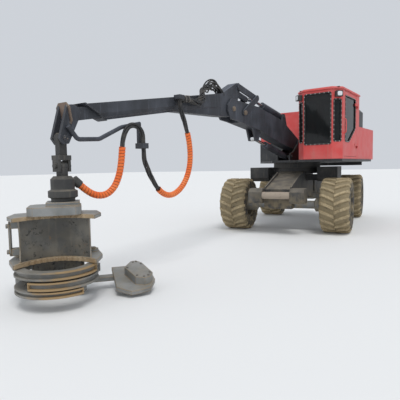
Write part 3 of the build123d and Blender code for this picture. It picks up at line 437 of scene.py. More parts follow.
def studs(places, heading, radius, height, sides=6):
    """Domed bolt heads, or caps of many sides: p(k, a) = place + r_k (u cos a + v sin a) + h_k heading."""
    heading = np.array(heading, float) / np.linalg.norm(heading)
    u = np.cross(heading, (0.3, 0.5, 0.81))
    u /= np.linalg.norm(u)
    v = np.cross(heading, u)
    angle = full_turn(sides)
    ring = u * np.cos(angle)[:, None] + v * np.sin(angle)[:, None]
    reach = radius * np.array((1, 1, 0.86, 0.45, 0.0))
    rise = height * np.array((-0.3, 0.72, 0.9, 1.0, 1.02))
    form = reach[:, None, None] * ring + (rise[:, None] * heading)[:, None]
    return [np.array(place) + form for place in places]


def circle(middle, radius, count, start=0.0):
    """So many points round a circle in a plane."""
    angle = full_turn(count) + start
    return joined(middle[0] + radius * np.cos(angle), middle[1] + radius * np.sin(angle))


# body, x and z of the pin, its end's distance from the boom's plane, circle of the bolts, how many
for body, x, z, face, reach, count in (
    ("boom", 1.1, 2.92, 0.109, 0.02, 2),
    ("upper", 0.25, 2.2, 0.206, 0.036, 4),
    ("upper", 0.8, 1.9, 0.206, 0.022, 2),
    ("extension", 7.82, 2.05, 0.115, 0.02, 2),
):
    heads = []
    for side in (1, -1):
        spots = [(a, side * face, b) for a, b in circle((x, z), reach, count, 0.4)]
        heads += studs(spots, (0, side, 0), 0.011, 0.01)
    piece = skin(f"pin_bolts_{body}_{int(x * 1000)}", heads, bolt_steel, body, smooth=False)

# Pin caps: round turned covers, bronze-brown, pressed over both ends of the elbow's pin and of
# the rocker's pin.

cap_bronze = steel(
    "cap_bronze", (0.115, 0.085, 0.06), (0.175, 0.13, 0.09), (0.34, 0.27, 0.2),
    wear=0.7, dusty=0.3, rough=0.4,
)
CAP_RADIUS = 0.05
caps = []
for x, z, face in ((3.74, 2.84, 0.158), (3.31, 2.8, 0.189)):
    for side in (1, -1):
        caps += studs([(x, side * face, z)], (0, side, 0), CAP_RADIUS, 0.034, sides=32)
piece = skin("pin_caps", caps, cap_bronze, "boom")

# Wheels: wide forestry tyres of moulded rubber with curved bars, under dried mud. Each sits on a
# dished steel rim, which a ring of nuts holds to the hub.

tyre_rubber, shader, spot = material("tyre_rubber")
filled = coordinates(tyre_rubber, "UV").axis("Y").between(0.575, 0.615)
caked = (spot.noise(5.5, 6) * 0.7 + spot.noise(22, 5) * 0.45 + filled * 0.22).between(0.46, 0.76)
mud_tone = spot.noise(14, 5).mix((0.36, 0.29, 0.17), (0.22, 0.175, 0.105))
coat(shader, (caked * 0.85).mix((0.04, 0.037, 0.033), mud_tone), 0.78 + caked * 0.15)
bump(spot, shader, spot.noise(60, 5) + caked * 2.0, 0.004)

# dried mud on the bars: pale where it dried, rubbed off to rubber in places
bar_mud, shader, spot = material("bar_mud")
worn_off = (spot.noise(6, 6) * 0.6 + spot.noise(30, 5) * 0.5).between(0.62, 0.8)
dried = (spot.noise(4) * 0.5 + spot.noise(24, 5) * 0.5).between(0.35, 0.65)
dried = dried.mix((0.45, 0.36, 0.22), (0.28, 0.22, 0.13))
coat(shader, worn_off.mix(dried, (0.07, 0.064, 0.055)), 0.92 - worn_off * 0.2)
bump(spot, shader, spot.noise(70, 5), 0.003)

AXLE_HEIGHT = 0.6725
TREAD_RADIUS = 0.6705
CASING_RADIUS = 0.6305
BARS = 20
BAR_SWEEP = 0.137
NUT_CIRCLE = 0.2
NUT_FACE = 0.052
upward = np.array((0.0, 0.0, 1.0))


def level_axes(degrees):
    """The level direction turned by so many degrees from +X, and the one to its left."""
    out = np.array((cos(radians(degrees)), sin(radians(degrees)), 0.0))
    return out, np.array((-out[1], out[0], 0.0))


CHASSIS_TURN = 10
forward, axle_left = level_axes(CHASSIS_TURN)


def on_wheel(centre, angle, radius, across):
    """A point of a wheel: p = centre + y axle + r (forward sin a + up cos a)."""
    swing = forward * np.sin(angle)[..., None] + upward * np.cos(angle)[..., None]
    return centre + axle_left * across[..., None] + swing * radius[..., None]


def casing(centre):
    """The tyre's body: a section from bead to bead, rounded over the shoulders, turned about the axle."""
    across = (0.286, 0.318, 0.337, 0.349, 0.352, 0.347, 0.335, 0.312, 0.27, 0.18, 0.0)
    radius = (0.334, 0.345, 0.385, 0.44, 0.5, 0.55, 0.588, 0.613, 0.626, CASING_RADIUS, 0.632)
    half = joined(across, radius)
    section = np.concatenate((half, half[-2::-1] * (-1, 1)))
    angle = np.linspace(0, tau, 97)
    across, turned = np.meshgrid(section[:, 0], angle, indexing="ij")
    radius = np.meshgrid(section[:, 1], angle, indexing="ij")[0]
    return on_wheel(centre, turned, radius, across), joined(turned, radius)


def tread_bars(centre):
    """Curved bars: a(t) = a0 + sweep (1-t)^1.3 / R and y(t) = 0.34 t, and they fall off the shoulder."""
    run = np.concatenate(([0.0], np.linspace(0.0, 1.0, 10), [1.0]))
    fall = np.clip((run - 0.8) / 0.2, 0, 1) ** 1.8
    top = TREAD_RADIUS - 0.08 * fall
    base = CASING_RADIUS - 0.02 - 0.085 * fall
    lift = np.array((0.0, 0.78, 1.0, 1.0, 0.78, 0.0))
    offset = np.array((-0.043, -0.034, -0.027, 0.027, 0.034, 0.043))
    raised = np.ones(len(run))
    raised[[0, -1]] = 0.0
    radius = base[:, None] + (top - base)[:, None] * lift * raised[:, None]
    grids = []
    for side in (1, -1):
        for number in range(BARS):
            start = tau * (number + (side < 0) * 0.5) / BARS
            angle = start + ((BAR_SWEEP * (1 - run) ** 1.3)[:, None] + offset) / TREAD_RADIUS
            across = np.broadcast_to((side * (0.004 + 0.34 * run))[:, None], angle.shape)
            grids.append(on_wheel(centre, angle, radius, across))
    return grids


for corner in ("front_left", "front_right", "rear_left", "rear_right"):
    low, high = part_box("tyre_" + corner)
    centre = (np.array(low) + np.array(high)) / 2 - SWING
    centre[2] = AXLE_HEIGHT
    outward = axle_left if corner.endswith("left") else -axle_left
    body = "wheel_" + corner
    grid, hub_uv = casing(centre)
    piece = skin("tyre_casing_" + corner, [grid], tyre_rubber, body, round_columns=False, uv=hub_uv)
    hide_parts("tyre_" + corner)
    piece = skin("tyre_bars_" + corner, tread_bars(centre), bar_mud, body, round_columns=False, smooth=False)
    nuts = on_wheel(centre + outward * NUT_FACE, full_turn(12), np.array(NUT_CIRCLE), np.zeros(1))
    piece = skin("wheel_nuts_" + corner, studs(nuts, outward, 0.017, 0.02), bolt_steel, body, smooth=False)

rim_paint = steel("rim_paint", (0.2, 0.19, 0.17), (0.28, 0.26, 0.22), (0.33, 0.27, 0.18), wear=0.5, mud=0.9)
dress(rim_paint, *[name for name in nodes if name.startswith("rim_")])

# Chassis: two welded box frames, hinged in the middle, black and dusty with mud below, on cast
# axles in worn grey paint that are bolted under them.

chassis_paint = steel(
    "chassis_paint", (0.035, 0.036, 0.038), (0.07, 0.068, 0.064), (0.28, 0.25, 0.2),
    dusty=0.75, mud=0.8, rough=0.6,
)
dress(chassis_paint, "front_frame", "rear_frame", "step_boxes", "turntable_ring")
axle_paint = steel("axle_paint", (0.17, 0.175, 0.175), (0.24, 0.24, 0.235), (0.36, 0.33, 0.28), mud=0.7)
dress(axle_paint, "front_axle", "rear_axle")

# Nose bumper: two black boxes welded to the frame and joined by a round steel tube, which stumps
# and stones have rubbed to tan metal.

BUMPER_TUBE_HALF = 0.325


def painted_over(finish):
    """A finish's shader, the colour that it has so far, and its coordinates."""
    shader = finish.node_tree.nodes["Principled BSDF"]
    painted = Tone(finish.node_tree, shader.inputs["Base Color"].links[0].from_socket)
    return shader, painted, coordinates(finish)


bumper_paint = steel(
    "bumper_paint", (0.04, 0.04, 0.04), (0.095, 0.09, 0.08), (0.3, 0.25, 0.19), dusty=0.6, mud=0.7, rough=0.6
)
shader, painted, spot = painted_over(bumper_paint)
away_x = spot.axis("X") - float(SWING[0])
away_y = spot.axis("Y") - float(SWING[1])
across = away_x * float(axle_left[0]) + away_y * float(axle_left[1])
middle = 1 - across.math("ABSOLUTE", across, 0.0).between(BUMPER_TUBE_HALF, BUMPER_TUBE_HALF + 0.01)
rubbed = (0.35 + spot.noise(16, 5)) * middle
feed(shader, rubbed.between(0.35, 0.85).mix(painted, (0.34, 0.28, 0.22)), "Base Color")
dress(bumper_paint, "nose_bumper")

# Slewing upper's panels: sheet steel bolted on the deck, the engine housing, intake box and tail
# in black, and the hood, the left housing and the cab's shell in faded red.

housing_paint = steel(
    "housing_paint", (0.02, 0.022, 0.025), (0.04, 0.043, 0.047), (0.16, 0.16, 0.16), rough=0.4
)
dress(housing_paint, "engine_housing", "intake_box", "counterweight")
red_paint = steel(
    "red_paint", (0.62, 0.062, 0.058), (0.62, 0.11, 0.102), (0.3, 0.24, 0.22),
    wear=0.25, dusty=0.35, rough=0.38,
)
dress(red_paint, "engine_hood", "left_housing", "cab_shell", "cab_door", "cab_roof")

# Upper deck: one thick plate on the turntable, with two cheeks welded on it that carry the boom's
# foot pin and the lift cylinder's pin.


def prism(outline, middle, low, high, square):
    """A plate: p(k, j) runs from the low face's middle to its outline, up the edge and back."""
    edge = np.array(outline, float)
    centre = np.array(middle, float)
    rows = []
    for level, reach in ((low, 0.0), (low, 1.0), (high, 1.0), (high, 0.0)):
        rows.append(np.insert(centre + (edge - centre) * reach, square, level, axis=1))
    return np.array(rows)


DECK_LEVELS = (1.74, 1.8)
CHEEK_INNER = 0.154
CHEEK_OUTER = 0.194
PIN_END = 0.206
DECK_OUTLINE = (
    (-1.95, -1.0), (-1.6, -1.3), (-0.3, -1.3), (0.35, -0.62), (0.98, -0.3), (0.98, 0.42),
    (1.3, 0.573), (1.42, 0.773), (1.42, 1.454), (1.25, 1.634), (-1.6, 1.634), (-1.95, 1.334),
)
CHEEK_OUTLINE = (
    (-0.18, 1.79), (0.94, 1.79), (0.94, 1.92), (0.86, 1.99), (0.72, 2.02),
    (0.4, 2.24), (0.34, 2.34), (0.16, 2.34), (0.08, 2.22),
)
deck_forms = [prism(DECK_OUTLINE, (0, 0.1), *DECK_LEVELS, 2)]
for side in (1, -1):
    deck_forms.append(prism(CHEEK_OUTLINE, (0.3, 1.95), side * CHEEK_INNER, side * CHEEK_OUTER, 1))
# pin, radius
for pin, radius in (((0.25, 2.2), 0.06), ((0.8, 1.9), 0.042)):
    deck_forms.append(prism(circle(pin, radius, 40), pin, -PIN_END, PIN_END, 1))
piece = skin("deck_plate", deck_forms, housing_paint, "upper", smooth=False)
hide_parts("upper_deck")

# Cooling grille: louvres pressed in a steel sheet, in slanted waves, over the opening in the
# engine housing's right side.

LOUVRES = 14
rows = np.linspace(0, 1, 6 * LOUVRES + 1)
ends = np.array((-1.7, -1.69, -0.55, -0.54))
wave = 0.016 * ((rows * LOUVRES) % 1) ** 0.6
inside = np.array((0.0, 1.0, 1.0, 0.0))
louvre = joined(ends, -1.301 - wave[:, None] * inside, 1.92 + 0.36 * rows[:, None])
piece = skin("side_louvres", [louvre], housing_paint, "upper", round_columns=False, smooth=False, sheet=True)

# Cab windows: thick sheets of clear hard plastic in openings of the red shell. Little light comes in
# behind them, so their colour is a near black: painted shade.

pane_glass, shader, spot = material("pane_glass")
# painted shade: a near-black colour, which the light through the clear plastic takes on
coat(shader, (0.075, 0.082, 0.085, 1), 0.04 + spot.noise(3) * 0.05)
feed(shader, 0.85, "Transmission Weight")
feed(shader, 1.3, "IOR")
dress(pane_glass, "cab_glazing", "door_glass")

# Window seals: a black rubber strip round each pane, pressed over its edge and the edge of the
# opening.

seal_rubber, shader, spot = material("seal_rubber")
coat(shader, spot.noise(30).mix((0.012, 0.012, 0.012), (0.035, 0.034, 0.032)), 0.6 + spot.noise(70) * 0.2)
SEAL_BEND = 0.045


def seal(corners, facing):
    """A strip round a pane: q(s) turns each corner by (1-s)^2 a + 2s(1-s) c + s^2 b, with a flat section."""
    corners = np.array(corners, float)
    before = np.roll(corners, 1, axis=0) - corners
    after = np.roll(corners, -1, axis=0) - corners
    start = corners + SEAL_BEND * before / np.linalg.norm(before, axis=1, keepdims=True)
    end = corners + SEAL_BEND * after / np.linalg.norm(after, axis=1, keepdims=True)
    share = np.linspace(0, 1, 6)[None, :, None]
    line = (1 - share) ** 2 * start[:, None] + share**2 * end[:, None]
    line = (line + 2 * share * (1 - share) * corners[:, None]).reshape(-1, 3)
    heading = np.roll(line, -1, axis=0) - np.roll(line, 1, axis=0)
    inward = np.cross(facing, heading)
    inward /= np.linalg.norm(inward, axis=1, keepdims=True)
    inward *= np.sign(np.sum(inward * (corners.mean(axis=0) - line), axis=1))[:, None]
    reach = np.array((-0.014, -0.01, 0.012, 0.018, 0.018, -0.014))[None, :, None]
    rise = np.array((0.001, 0.007, 0.007, 0.001, -0.022, -0.004))[None, :, None]
    return line[:, None] + reach * inward[:, None] + rise * np.array(facing, float)


def upright(x, y, facing, width, bottom, top):
    """The corners of an upright pane, and the way it faces."""
    out, aside = level_axes(facing)
    middle = np.array((x, y, 0.0))
    places = ((1, bottom), (-1, bottom), (-1, top), (1, top))
    return [middle + side * aside * width / 2 + (0, 0, level) for side, level in places], out


CAB_MIDDLE = 1.1135
# x, y, and the way that it faces in degrees
CORNER_POSTS = ((1.381, 1.556, 45), (1.381, 0.671, -45))
# x, y, the way that it faces, width, bottom, top
PANES = (
    (1.479, CAB_MIDDLE, 0, 0.64, 2.15, 3.341),
    (*CORNER_POSTS[0], 0.19, 2.21, 3.181),
    (*CORNER_POSTS[1], 0.19, 2.21, 3.181),
    (0.62, 0.573, -90, 1.0, 2.4, 3.301),
    (-0.14, CAB_MIDDLE, 180, 0.76, 2.5, 3.301),
)
piece = skin("pane_seals", [seal(*upright(*pane)) for pane in PANES], seal_rubber, "upper", round_rows=True)

# Pane bolts: bright steel bolts a hand's width apart, which clamp each thick pane on its seal. The
# rear pane shows none.

SEAL_RISE = 0.006
pane_steel = steel("pane_steel", (0.42, 0.42, 0.4), (0.55, 0.54, 0.52), (0.62, 0.61, 0.58), dusty=0.2)


def bolt_row(corners, facing, spacing=0.105):
    """Bolts round a pane: places at even shares (n + 1/2) / N of each side, on the seal's face."""
    corners = np.array(corners, float)
    heads = []
    for here, there in zip(corners, np.roll(corners, -1, axis=0)):
        number = max(1, round(np.linalg.norm(there - here) / spacing))
        share = ((np.arange(number) + 0.5) / number)[:, None]
        places = here + (there - here) * share + SEAL_RISE * np.array(facing, float)
        heads += studs(places, facing, 0.0125, 0.009)
    return heads


pane_heads = sum((bolt_row(*upright(*pane)) for pane in PANES[:4]), [])
piece = skin("pane_bolts", pane_heads, pane_steel, "upper", smooth=False)
DOOR_FACE = 1.654
DOOR_PANE = ((0.22, 2.57), (0.78, 2.21), (1.11, 2.21), (1.11, 3.291), (0.22, 3.291))
door_corners = [(x, DOOR_FACE, z) for x, z in DOOR_PANE]
piece = skin("door_seal", [seal(door_corners, (0, 1, 0))], seal_rubber, "door", round_rows=True)
piece = skin("door_bolts", bolt_row(door_corners, (0, 1, 0)), pane_steel, "door", smooth=False)

# Grab handle: a round steel bar in the cab's paint, bent at both ends and welded to the left front
# post, for climbing up to the door.

HANDLE_X = 1.235
handle_way = ((1.652, 2.4), (1.7, 2.4), (1.716, 2.45), (1.716, 2.68), (1.7, 2.73), (1.652, 2.73))
handle_line = route_line([(HANDLE_X, y, z) for y, z in handle_way])
piece = skin("grab_handle", strands(handle_line, ((0.0, 0.0),), 0.014, 1.0, step=0.01), red_paint, "upper")

# Driver's seat: stuffed cushion and back under cloth, between two plastic arm consoles, on a sprung
# base under a folded boot, bolted to the cab's floor.

seat_cloth, shader, spot = material("seat_cloth")
weave = spot.noise(300)
coat(shader, weave.mix((0.02, 0.02, 0.022), (0.05, 0.05, 0.052)), 0.85)
bump(spot, shader, weave, 0.0008)
console_plastic, shader, spot = material("console_plastic")
coat(shader, spot.noise(9).mix((0.03, 0.03, 0.031), (0.055, 0.053, 0.05)), 0.55 + spot.noise(40) * 0.2)


def bent(value, power):
    """sgn w |w|^e, which squares off a circle or a ball."""
    return np.sign(value) * np.abs(value) ** power


def pillow(centre, half, round_off, sag=0.0):
    """A soft block: p(u, v) = c + (a cs v cs u, b cs v sn u, h sn v), cs and sn bent, sagging on top."""
    u = full_turn(48)[None, :]
    v = np.linspace(-tau / 4, tau / 4, 25)[:, None]
    x = bent(np.cos(v), round_off) * bent(np.cos(u), round_off)
    y = bent(np.cos(v), round_off) * bent(np.sin(u), round_off)
    z = bent(np.sin(v), round_off) * np.ones_like(u)
    z = z - sag * np.clip(z, 0, 1) * (1 - x**2) * (1 - y**2)
    return np.array(centre) + joined(x * half[0], y * half[1], z * half[2])


soft_block = pillow((0.45, CAB_MIDDLE, 2.2506), (0.258, 0.248, 0.069), 0.42, 0.25)
cushion = skin("seat_cushion", [soft_block], seat_cloth, "upper")
soft_block = pillow((0.22, CAB_MIDDLE, 2.6306), (0.064, 0.238, 0.318), 0.45)
backrest = skin("seat_back", [soft_block], seat_cloth, "upper")
CONSOLE_HALF = (0.208, 0.063, 0.208)
stand = [pillow((0.49, CAB_MIDDLE + side * 0.315, 2.2606), CONSOLE_HALF, 0.3) for side in (1, -1)]
folds = np.linspace(0, 1, 33)[:, None]
width = 0.94 + 0.06 * np.cos(folds * tau * 5)
square_x, square_y = (bent(wave(full_turn(48)), 0.4) for wave in (np.cos, np.sin))
boot = joined(0.45 + 0.205 * width * square_x, CAB_MIDDLE + 0.185 * width * square_y, 1.852 + 0.335 * folds)
stand.append(boot)
piece = skin("seat_consoles", stand, console_plastic, "upper")
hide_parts("cab_seat")

# Work lamps: black housings bolted on the front corner posts, each with a clear lens of moulded
# plastic, a rounded square with faint ribs.

lamp_body = steel("lamp_body", (0.03, 0.03, 0.03), (0.06, 0.06, 0.06), (0.2, 0.2, 0.2))
dress(lamp_body, "work_lamps")
lens_glass, shader, spot = material("lens_glass")
ribs = spot.noise(120, 1)
coat(shader, ribs.mix((0.62, 0.64, 0.66), (0.8, 0.82, 0.84)), 0.08 + ribs * 0.08)
feed(shader, 0.6, "Coat Weight")
LAMP_LEVEL = 3.291
LENS_FACE = 0.1085
lenses = []
for x, y, facing in CORNER_POSTS:
    out, aside = level_axes(facing)
    wide, tall = (bent(wave(full_turn(48)), 0.55)[:, None] for wave in (np.cos, np.sin))
    reach = np.linspace(1, 0, 9)[:, None, None]
    flat = reach * (0.064 * wide * aside + 0.054 * tall * upward)
    lenses.append(np.array((x, y, LAMP_LEVEL)) + flat + (LENS_FACE + 0.011 * (1 - reach**2)) * out)
piece = skin("lamp_lenses", lenses, lens_glass, "upper", sheet=True)

# Litter: needles and bark that lie loose on the cab's roof and the hood, in low uneven drifts that
# fade out at the edges.

litter, shader, spot = material("litter")
crumbs = spot.noise(85, 6, 0.8)
coat(shader, crumbs.between(0.35, 0.7).mix((0.05, 0.032, 0.018), (0.2, 0.14, 0.075)), 0.95)
bump(spot, shader, crumbs, 0.006)
DRIFT_HEIGHT = 0.02


def drift(low, high, level, seed):
    """A low heap over a rectangle: z = level + height (sum of sines, faded at the edges)."""
    x, y = np.meshgrid(np.linspace(low[0], high[0], 70), np.linspace(low[1], high[1], 60), indexing="ij")
    waves = np.random.default_rng(seed).uniform(-1, 1, (14, 3)) * (26, 26, 9)
    lumps = sum(np.sin(x * a + y * b + c) for a, b, c in waves) / 7
    across = (x - low[0]) / (high[0] - low[0]) * 2 - 1
    beside = (y - low[1]) / (high[1] - low[1]) * 2 - 1
    fade = np.clip((1 - across**6) * (1 - beside**6) * 1.2, 0, 1)
    return joined(x, y, level + DRIFT_HEIGHT * np.clip(0.35 + lumps, -0.4, 1) * fade - 0.004)


heaps = [drift((-0.1, 0.62), (1.4, 1.6), 3.472, 5), drift((-1.9, -1.0), (-0.85, -0.2), 3.281, 9)]
piece = skin("roof_litter", heaps, litter, "upper", round_columns=False, sheet=True)

# Stick: a welded tube whose lower edges are cut away to slopes, between a deep root on the elbow pin
# and an oblique rimmed end, with the inner tube sliding in it.

ELBOW = np.array((3.74, 0.0, 2.84))
STICK_LEAN = radians(-9.9)
stick_out = np.array((cos(STICK_LEAN), 0.0, sin(STICK_LEAN)))
stick_up = np.array((-sin(STICK_LEAN), 0.0, cos(STICK_LEAN)))


def on_stick(grid):
    """Points drawn along the stick, x from the elbow pin, carried to the stick's lean."""
    x, y, z = np.moveaxis(np.asarray(grid, float), -1, 0)[..., None]
    return ELBOW + x * stick_out + y * np.array((0.0, 1.0, 0.0)) + z * stick_up


TUBE_TOP = 0.327
TUBE_HALF = 0.125
TUBE_LOW = 0.087
BORE_MIDDLE = 0.207
BORE_START = 0.86
END_SLANT = 1.4
ROOT_HALF = 0.106


def slanted(x, ring, slant):
    """A ring across the tube, slanted by x - s (top - z)."""
    return [(x - slant * (TUBE_TOP - z), y, z) for y, z in ring]


def station(x, low, foot, grow=0.0, slant=0.0):
    """A ring of the tube's skin: full width down to two fifths, then sloping in to its foot."""
    shoulder = low + 0.4 * (TUBE_TOP - low)
    wide = TUBE_HALF + grow
    low, top = low - grow, TUBE_TOP + grow
    ring = ((-wide, top), (wide, top), (wide, shoulder), (foot, low), (-foot, low), (-wide, shoulder))
    return slanted(x, ring, slant)


def bore(x, slant=0.0, half=0.0895, rise=0.0865):
    """A ring of the tube's bore, which the inner tube fills."""
    middle, high, low = BORE_MIDDLE, BORE_MIDDLE + rise, BORE_MIDDLE - rise
    ring = ((-half, high), (half, high), (half, middle), (half, low), (-half, low), (-half, middle))
    return slanted(x, ring, slant)


tube = [
    [(0.42, 0.0, 0.1)] * 6,
    station(0.42, -0.11, ROOT_HALF),
    station(1.85, TUBE_LOW, 0.072),
    station(3.745, TUBE_LOW, 0.072, slant=END_SLANT),
    station(3.745, TUBE_LOW, 0.08, grow=0.013, slant=END_SLANT),
    station(3.78, TUBE_LOW, 0.08, grow=0.013, slant=END_SLANT),
    bore(3.78, slant=END_SLANT),
    bore(BORE_START),
    [(BORE_START, 0.0, BORE_MIDDLE)] * 6,
]
ROOT_OUTLINE = (
    (-0.06, -0.15), (0.06, -0.15), (0.42, -0.11), (0.6, -0.085), (0.6, 0.32),
    (0.3, TUBE_TOP), (-0.298, 0.513), (-0.418, 0.513), (-0.463, 0.423), (-0.16, -0.04),
)
root = prism(ROOT_OUTLINE, (0.0, 0.15), -ROOT_HALF, ROOT_HALF, 1)
piece = skin("stick_root", [on_stick(root)], boom_paint, "stick", smooth=False)
piece = skin("stick_tube", [on_stick(tube)], boom_paint, "stick", smooth=False)
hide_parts("outer_boom")

# Stick's end cap: a rusty eight-sided steel plate that closes the inner tube's end, held by four
# bolts.

cap_rust = steel(
    "cap_rust", (0.12, 0.08, 0.06), (0.2, 0.14, 0.105), (0.34, 0.27, 0.2), wear=0.8, dusty=0.3, rough=0.6
)
CAP_BACK = 4.022
CAP_FACE = 4.04
CAP_OUTLINE = (
    (-0.135, 0.127), (-0.075, 0.057), (0.075, 0.057), (0.135, 0.127),
    (0.135, 0.307), (0.075, 0.367), (-0.075, 0.367), (-0.135, 0.307),
)
cap = prism(CAP_OUTLINE, (0, BORE_MIDDLE), CAP_BACK, CAP_FACE, 0)
piece = skin("stick_end_cap", [on_stick(cap)], cap_rust, "extension", smooth=False)
cap_bolts = on_stick([(CAP_FACE, side * 0.098, level) for side in (1, -1) for level in (0.105, 0.315)])
heads = studs(cap_bolts, stick_out, 0.016, 0.012)
piece = skin("end_cap_bolts", heads, bolt_steel, "extension", smooth=False)

# Stick's hose run: rubber pressure hoses in four bundles of three, which arch from the root to the
# tube's left side and lie along it to the guide, under two steel straps.

RUN_HOSE = 0.0135
RUN_PLACES = ((0.026, 0.0), (0.026, 2.1), (0.026, 4.2))
runs = []
# y at the root, height of the arch, length of one twist
for y, hump, twist in ((-0.045, 0.09, 0.75), (0.03, 0.19, 0.95), (0.075, 0.05, 0.6), (0.06, 0.13, 0.8)):
    way = (
        (0.24, y, 0.28), (0.28, y, 0.38), (0.4, y, 0.38 + hump), (0.62, y + 0.01, 0.39 + hump),
        (0.82, y + 0.03, 0.38 + hump / 2), (1.0, 0.11, 0.375), (1.14, 0.165 + hump / 4, 0.3 - hump / 2),
        (1.36, 0.185 + hump / 4, 0.22 - hump / 3), (1.6, 0.18, 0.27), (1.8, 0.18, 0.3),
    )
    runs += strands(route_line(on_stick(way)), RUN_PLACES, RUN_HOSE, twist, slack=0.5)
piece = skin("stick_hose_run", runs, hose_rubber, "stick")
STRAP_OUTLINE = ((0.1, 0.22), (0.222, 0.22), (0.235, 0.25), (0.222, 0.325), (0.15, 0.337), (0.1, 0.337))
straps = [on_stick(prism(STRAP_OUTLINE, (0.16, 0.28), x, x + 0.022, 0)) for x in (1.56, 1.66)]
piece = skin("stick_hose_straps", straps, bolt_steel, "stick", smooth=False)

# Felling head's frame: heavy grey plate, two bitten plates welded on a column, scoured by trees. It is
# drawn with its opening towards +X, then turned under the rotator.

head_steel = steel(
    "head_steel", (0.17, 0.175, 0.17), (0.27, 0.275, 0.27), (0.4, 0.27, 0.13),
    wear=0.9, dusty=0.3, mud=0.15, rough=0.42, edge=0.02,
)
scoured_steel = steel(
    "scoured_steel", (0.09, 0.088, 0.08), (0.15, 0.145, 0.13), (0.3, 0.22, 0.13),
    wear=0.9, dusty=0.3, mud=0.2,
)
# finish, colour of its stains, above which noise they start
for finish, dark, spread in (
    (head_steel, (0.06, 0.05, 0.038), 0.66), (scoured_steel, (0.028, 0.026, 0.024), 0.54),
):
    shader, painted, spot = painted_over(finish)
    stains = spot.noise(19, 6, 0.75).between(spread, spread + 0.07) * spot.noise(4).between(0.4, 0.58)
    rust = spot.noise(11, 5, 0.7).between(0.63, 0.72) * 0.8
    feed(shader, rust.mix(stains.mix(painted, dark), (0.24, 0.13, 0.055)), "Base Color")
HEAD_TURN = 52
HEAD_SHIFT = (0.098, -0.099)
ROTATOR_AXIS = np.array((7.82, 0.0, 0.0))
head_front, head_left = level_axes(HEAD_TURN)


def on_head(grid):
    """Points drawn with the opening towards +X, carried: p = axis + x front + y left + z up."""
    x, y, z = np.moveaxis(np.asarray(grid, float), -1, 0)[..., None]
    return ROTATOR_AXIS + (x + HEAD_SHIFT[0]) * head_front + (y + HEAD_SHIFT[1]) * head_left + z * upward


UPPER_PLATE = (1.045, 1.09)
LOWER_PLATE = (0.5, 0.55)
UPPER_REACH = 0.33
# levels, how far the corners reach
PLATES = ((UPPER_PLATE, UPPER_REACH), (LOWER_PLATE, 0.4))
PLATE_CORNER = 0.47
PLATE_ROOT = 0.06


def bite(reach, teeth):
    """A plate's bitten edge: x(y) = root + (reach - root)(y / corner)^2, with saw teeth where trees rub."""
    y = np.linspace(-PLATE_CORNER, PLATE_CORNER, 73)
    tooth = (np.abs((y * 15) % 1 - 0.5) * 2 - 0.5) * teeth * (np.abs(y) < 0.75 * PLATE_CORNER)
    return joined(PLATE_ROOT + (reach - PLATE_ROOT) * (y / PLATE_CORNER) ** 2 + tooth, y)


def cut_box(middle, length, width, cut):
    """A rectangle about its middle, given by its half sizes, with its corners cut off."""
    half = ((length - cut, -width), (length, cut - width), (length, width - cut), (length - cut, width))
    return [(middle[0] + side * x, middle[1] + side * y) for side in (1, -1) for x, y in half]


head_forms = []
PLATE_BACK = ((0.06, 0.56), (-0.3, 0.52), (-0.42, 0.26), (-0.42, -0.26), (-0.3, -0.52), (0.06, -0.56))
for levels, reach in PLATES:
    head_forms.append(prism(np.concatenate((bite(reach, 0.016), PLATE_BACK)), (-0.15, 0.0), *levels, 2))
# neck plate, neck box and foot shoe: half length, half width, cut corner, middle, levels
for length, width, cut, middle, levels in (
    (0.205, 0.205, 0.012, (-0.098, 0.099), (1.2, 1.245)),
    (0.28, 0.32, 0.07, (-0.04, 0.0), (UPPER_PLATE[1], 1.2)),
    (0.21, 0.345, 0.045, (-0.2, 0.0), (0.06, 0.18)),
):
    head_forms.append(prism(cut_box(middle, length, width, cut), middle, *levels, 2))
# side flanges, with a hollow front edge that flares to the plates, and the arms' pins beside them
flare = np.linspace(LOWER_PLATE[1], UPPER_PLATE[0], 17)
hollow = joined(0.19 + 0.07 * ((flare - 0.8) / 0.25) ** 2, flare)
flange = np.concatenate((hollow, ((-0.26, UPPER_PLATE[0]), (-0.33, LOWER_PLATE[1]))))
ARM_PIN = (-0.18, 0.44)
for side in (1, -1):
    head_forms.append(prism(flange, (-0.02, 0.8), side * 0.4, side * 0.418, 1))
    pin = (ARM_PIN[0], side * ARM_PIN[1])
    for radius, low, high in ((0.04, 0.186, 0.505), (0.078, 0.55, 0.588), (0.045, 0.588, 0.606)):
        head_forms.append(prism(circle(pin, radius, 28), pin, low, high, 2))
# tilt link beside the column: a flat bar on two pins in two ears
LINK_X = 0.05
LINK_OUTLINE = ((0.005, 0.64), (0.05, 0.6), (0.095, 0.64), (0.095, 0.99), (0.05, 1.03), (0.005, 0.99))
UPPER_EAR = ((-0.03, 0.95), (0.13, 0.95), (0.13, 1.04), (-0.03, 1.04))
LOWER_EAR = ((0.0, 0.61), (0.1, 0.61), (0.1, 0.7), (0.0, 0.7))
head_forms.append(prism(LINK_OUTLINE, (LINK_X, 0.82), -0.545, -0.52, 1))
for ear, level in ((UPPER_EAR, 1.0), (LOWER_EAR, 0.65)):
    head_forms.append(prism(ear, (LINK_X, level), -0.515, -0.405, 1))
for pin in ((LINK_X, 0.655), (LINK_X, 0.975)):
    head_forms.append(prism(circle(pin, 0.028, 28), pin, -0.575, -0.41, 1))
piece = skin("head_plates", [on_head(form) for form in head_forms], head_steel, "head", smooth=False)
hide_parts("head_frame")

# Head's column: the bent panel that the tree leans on, and the hollow post below it, of thick
# plate welded between the head's plates and scoured dark by bark.

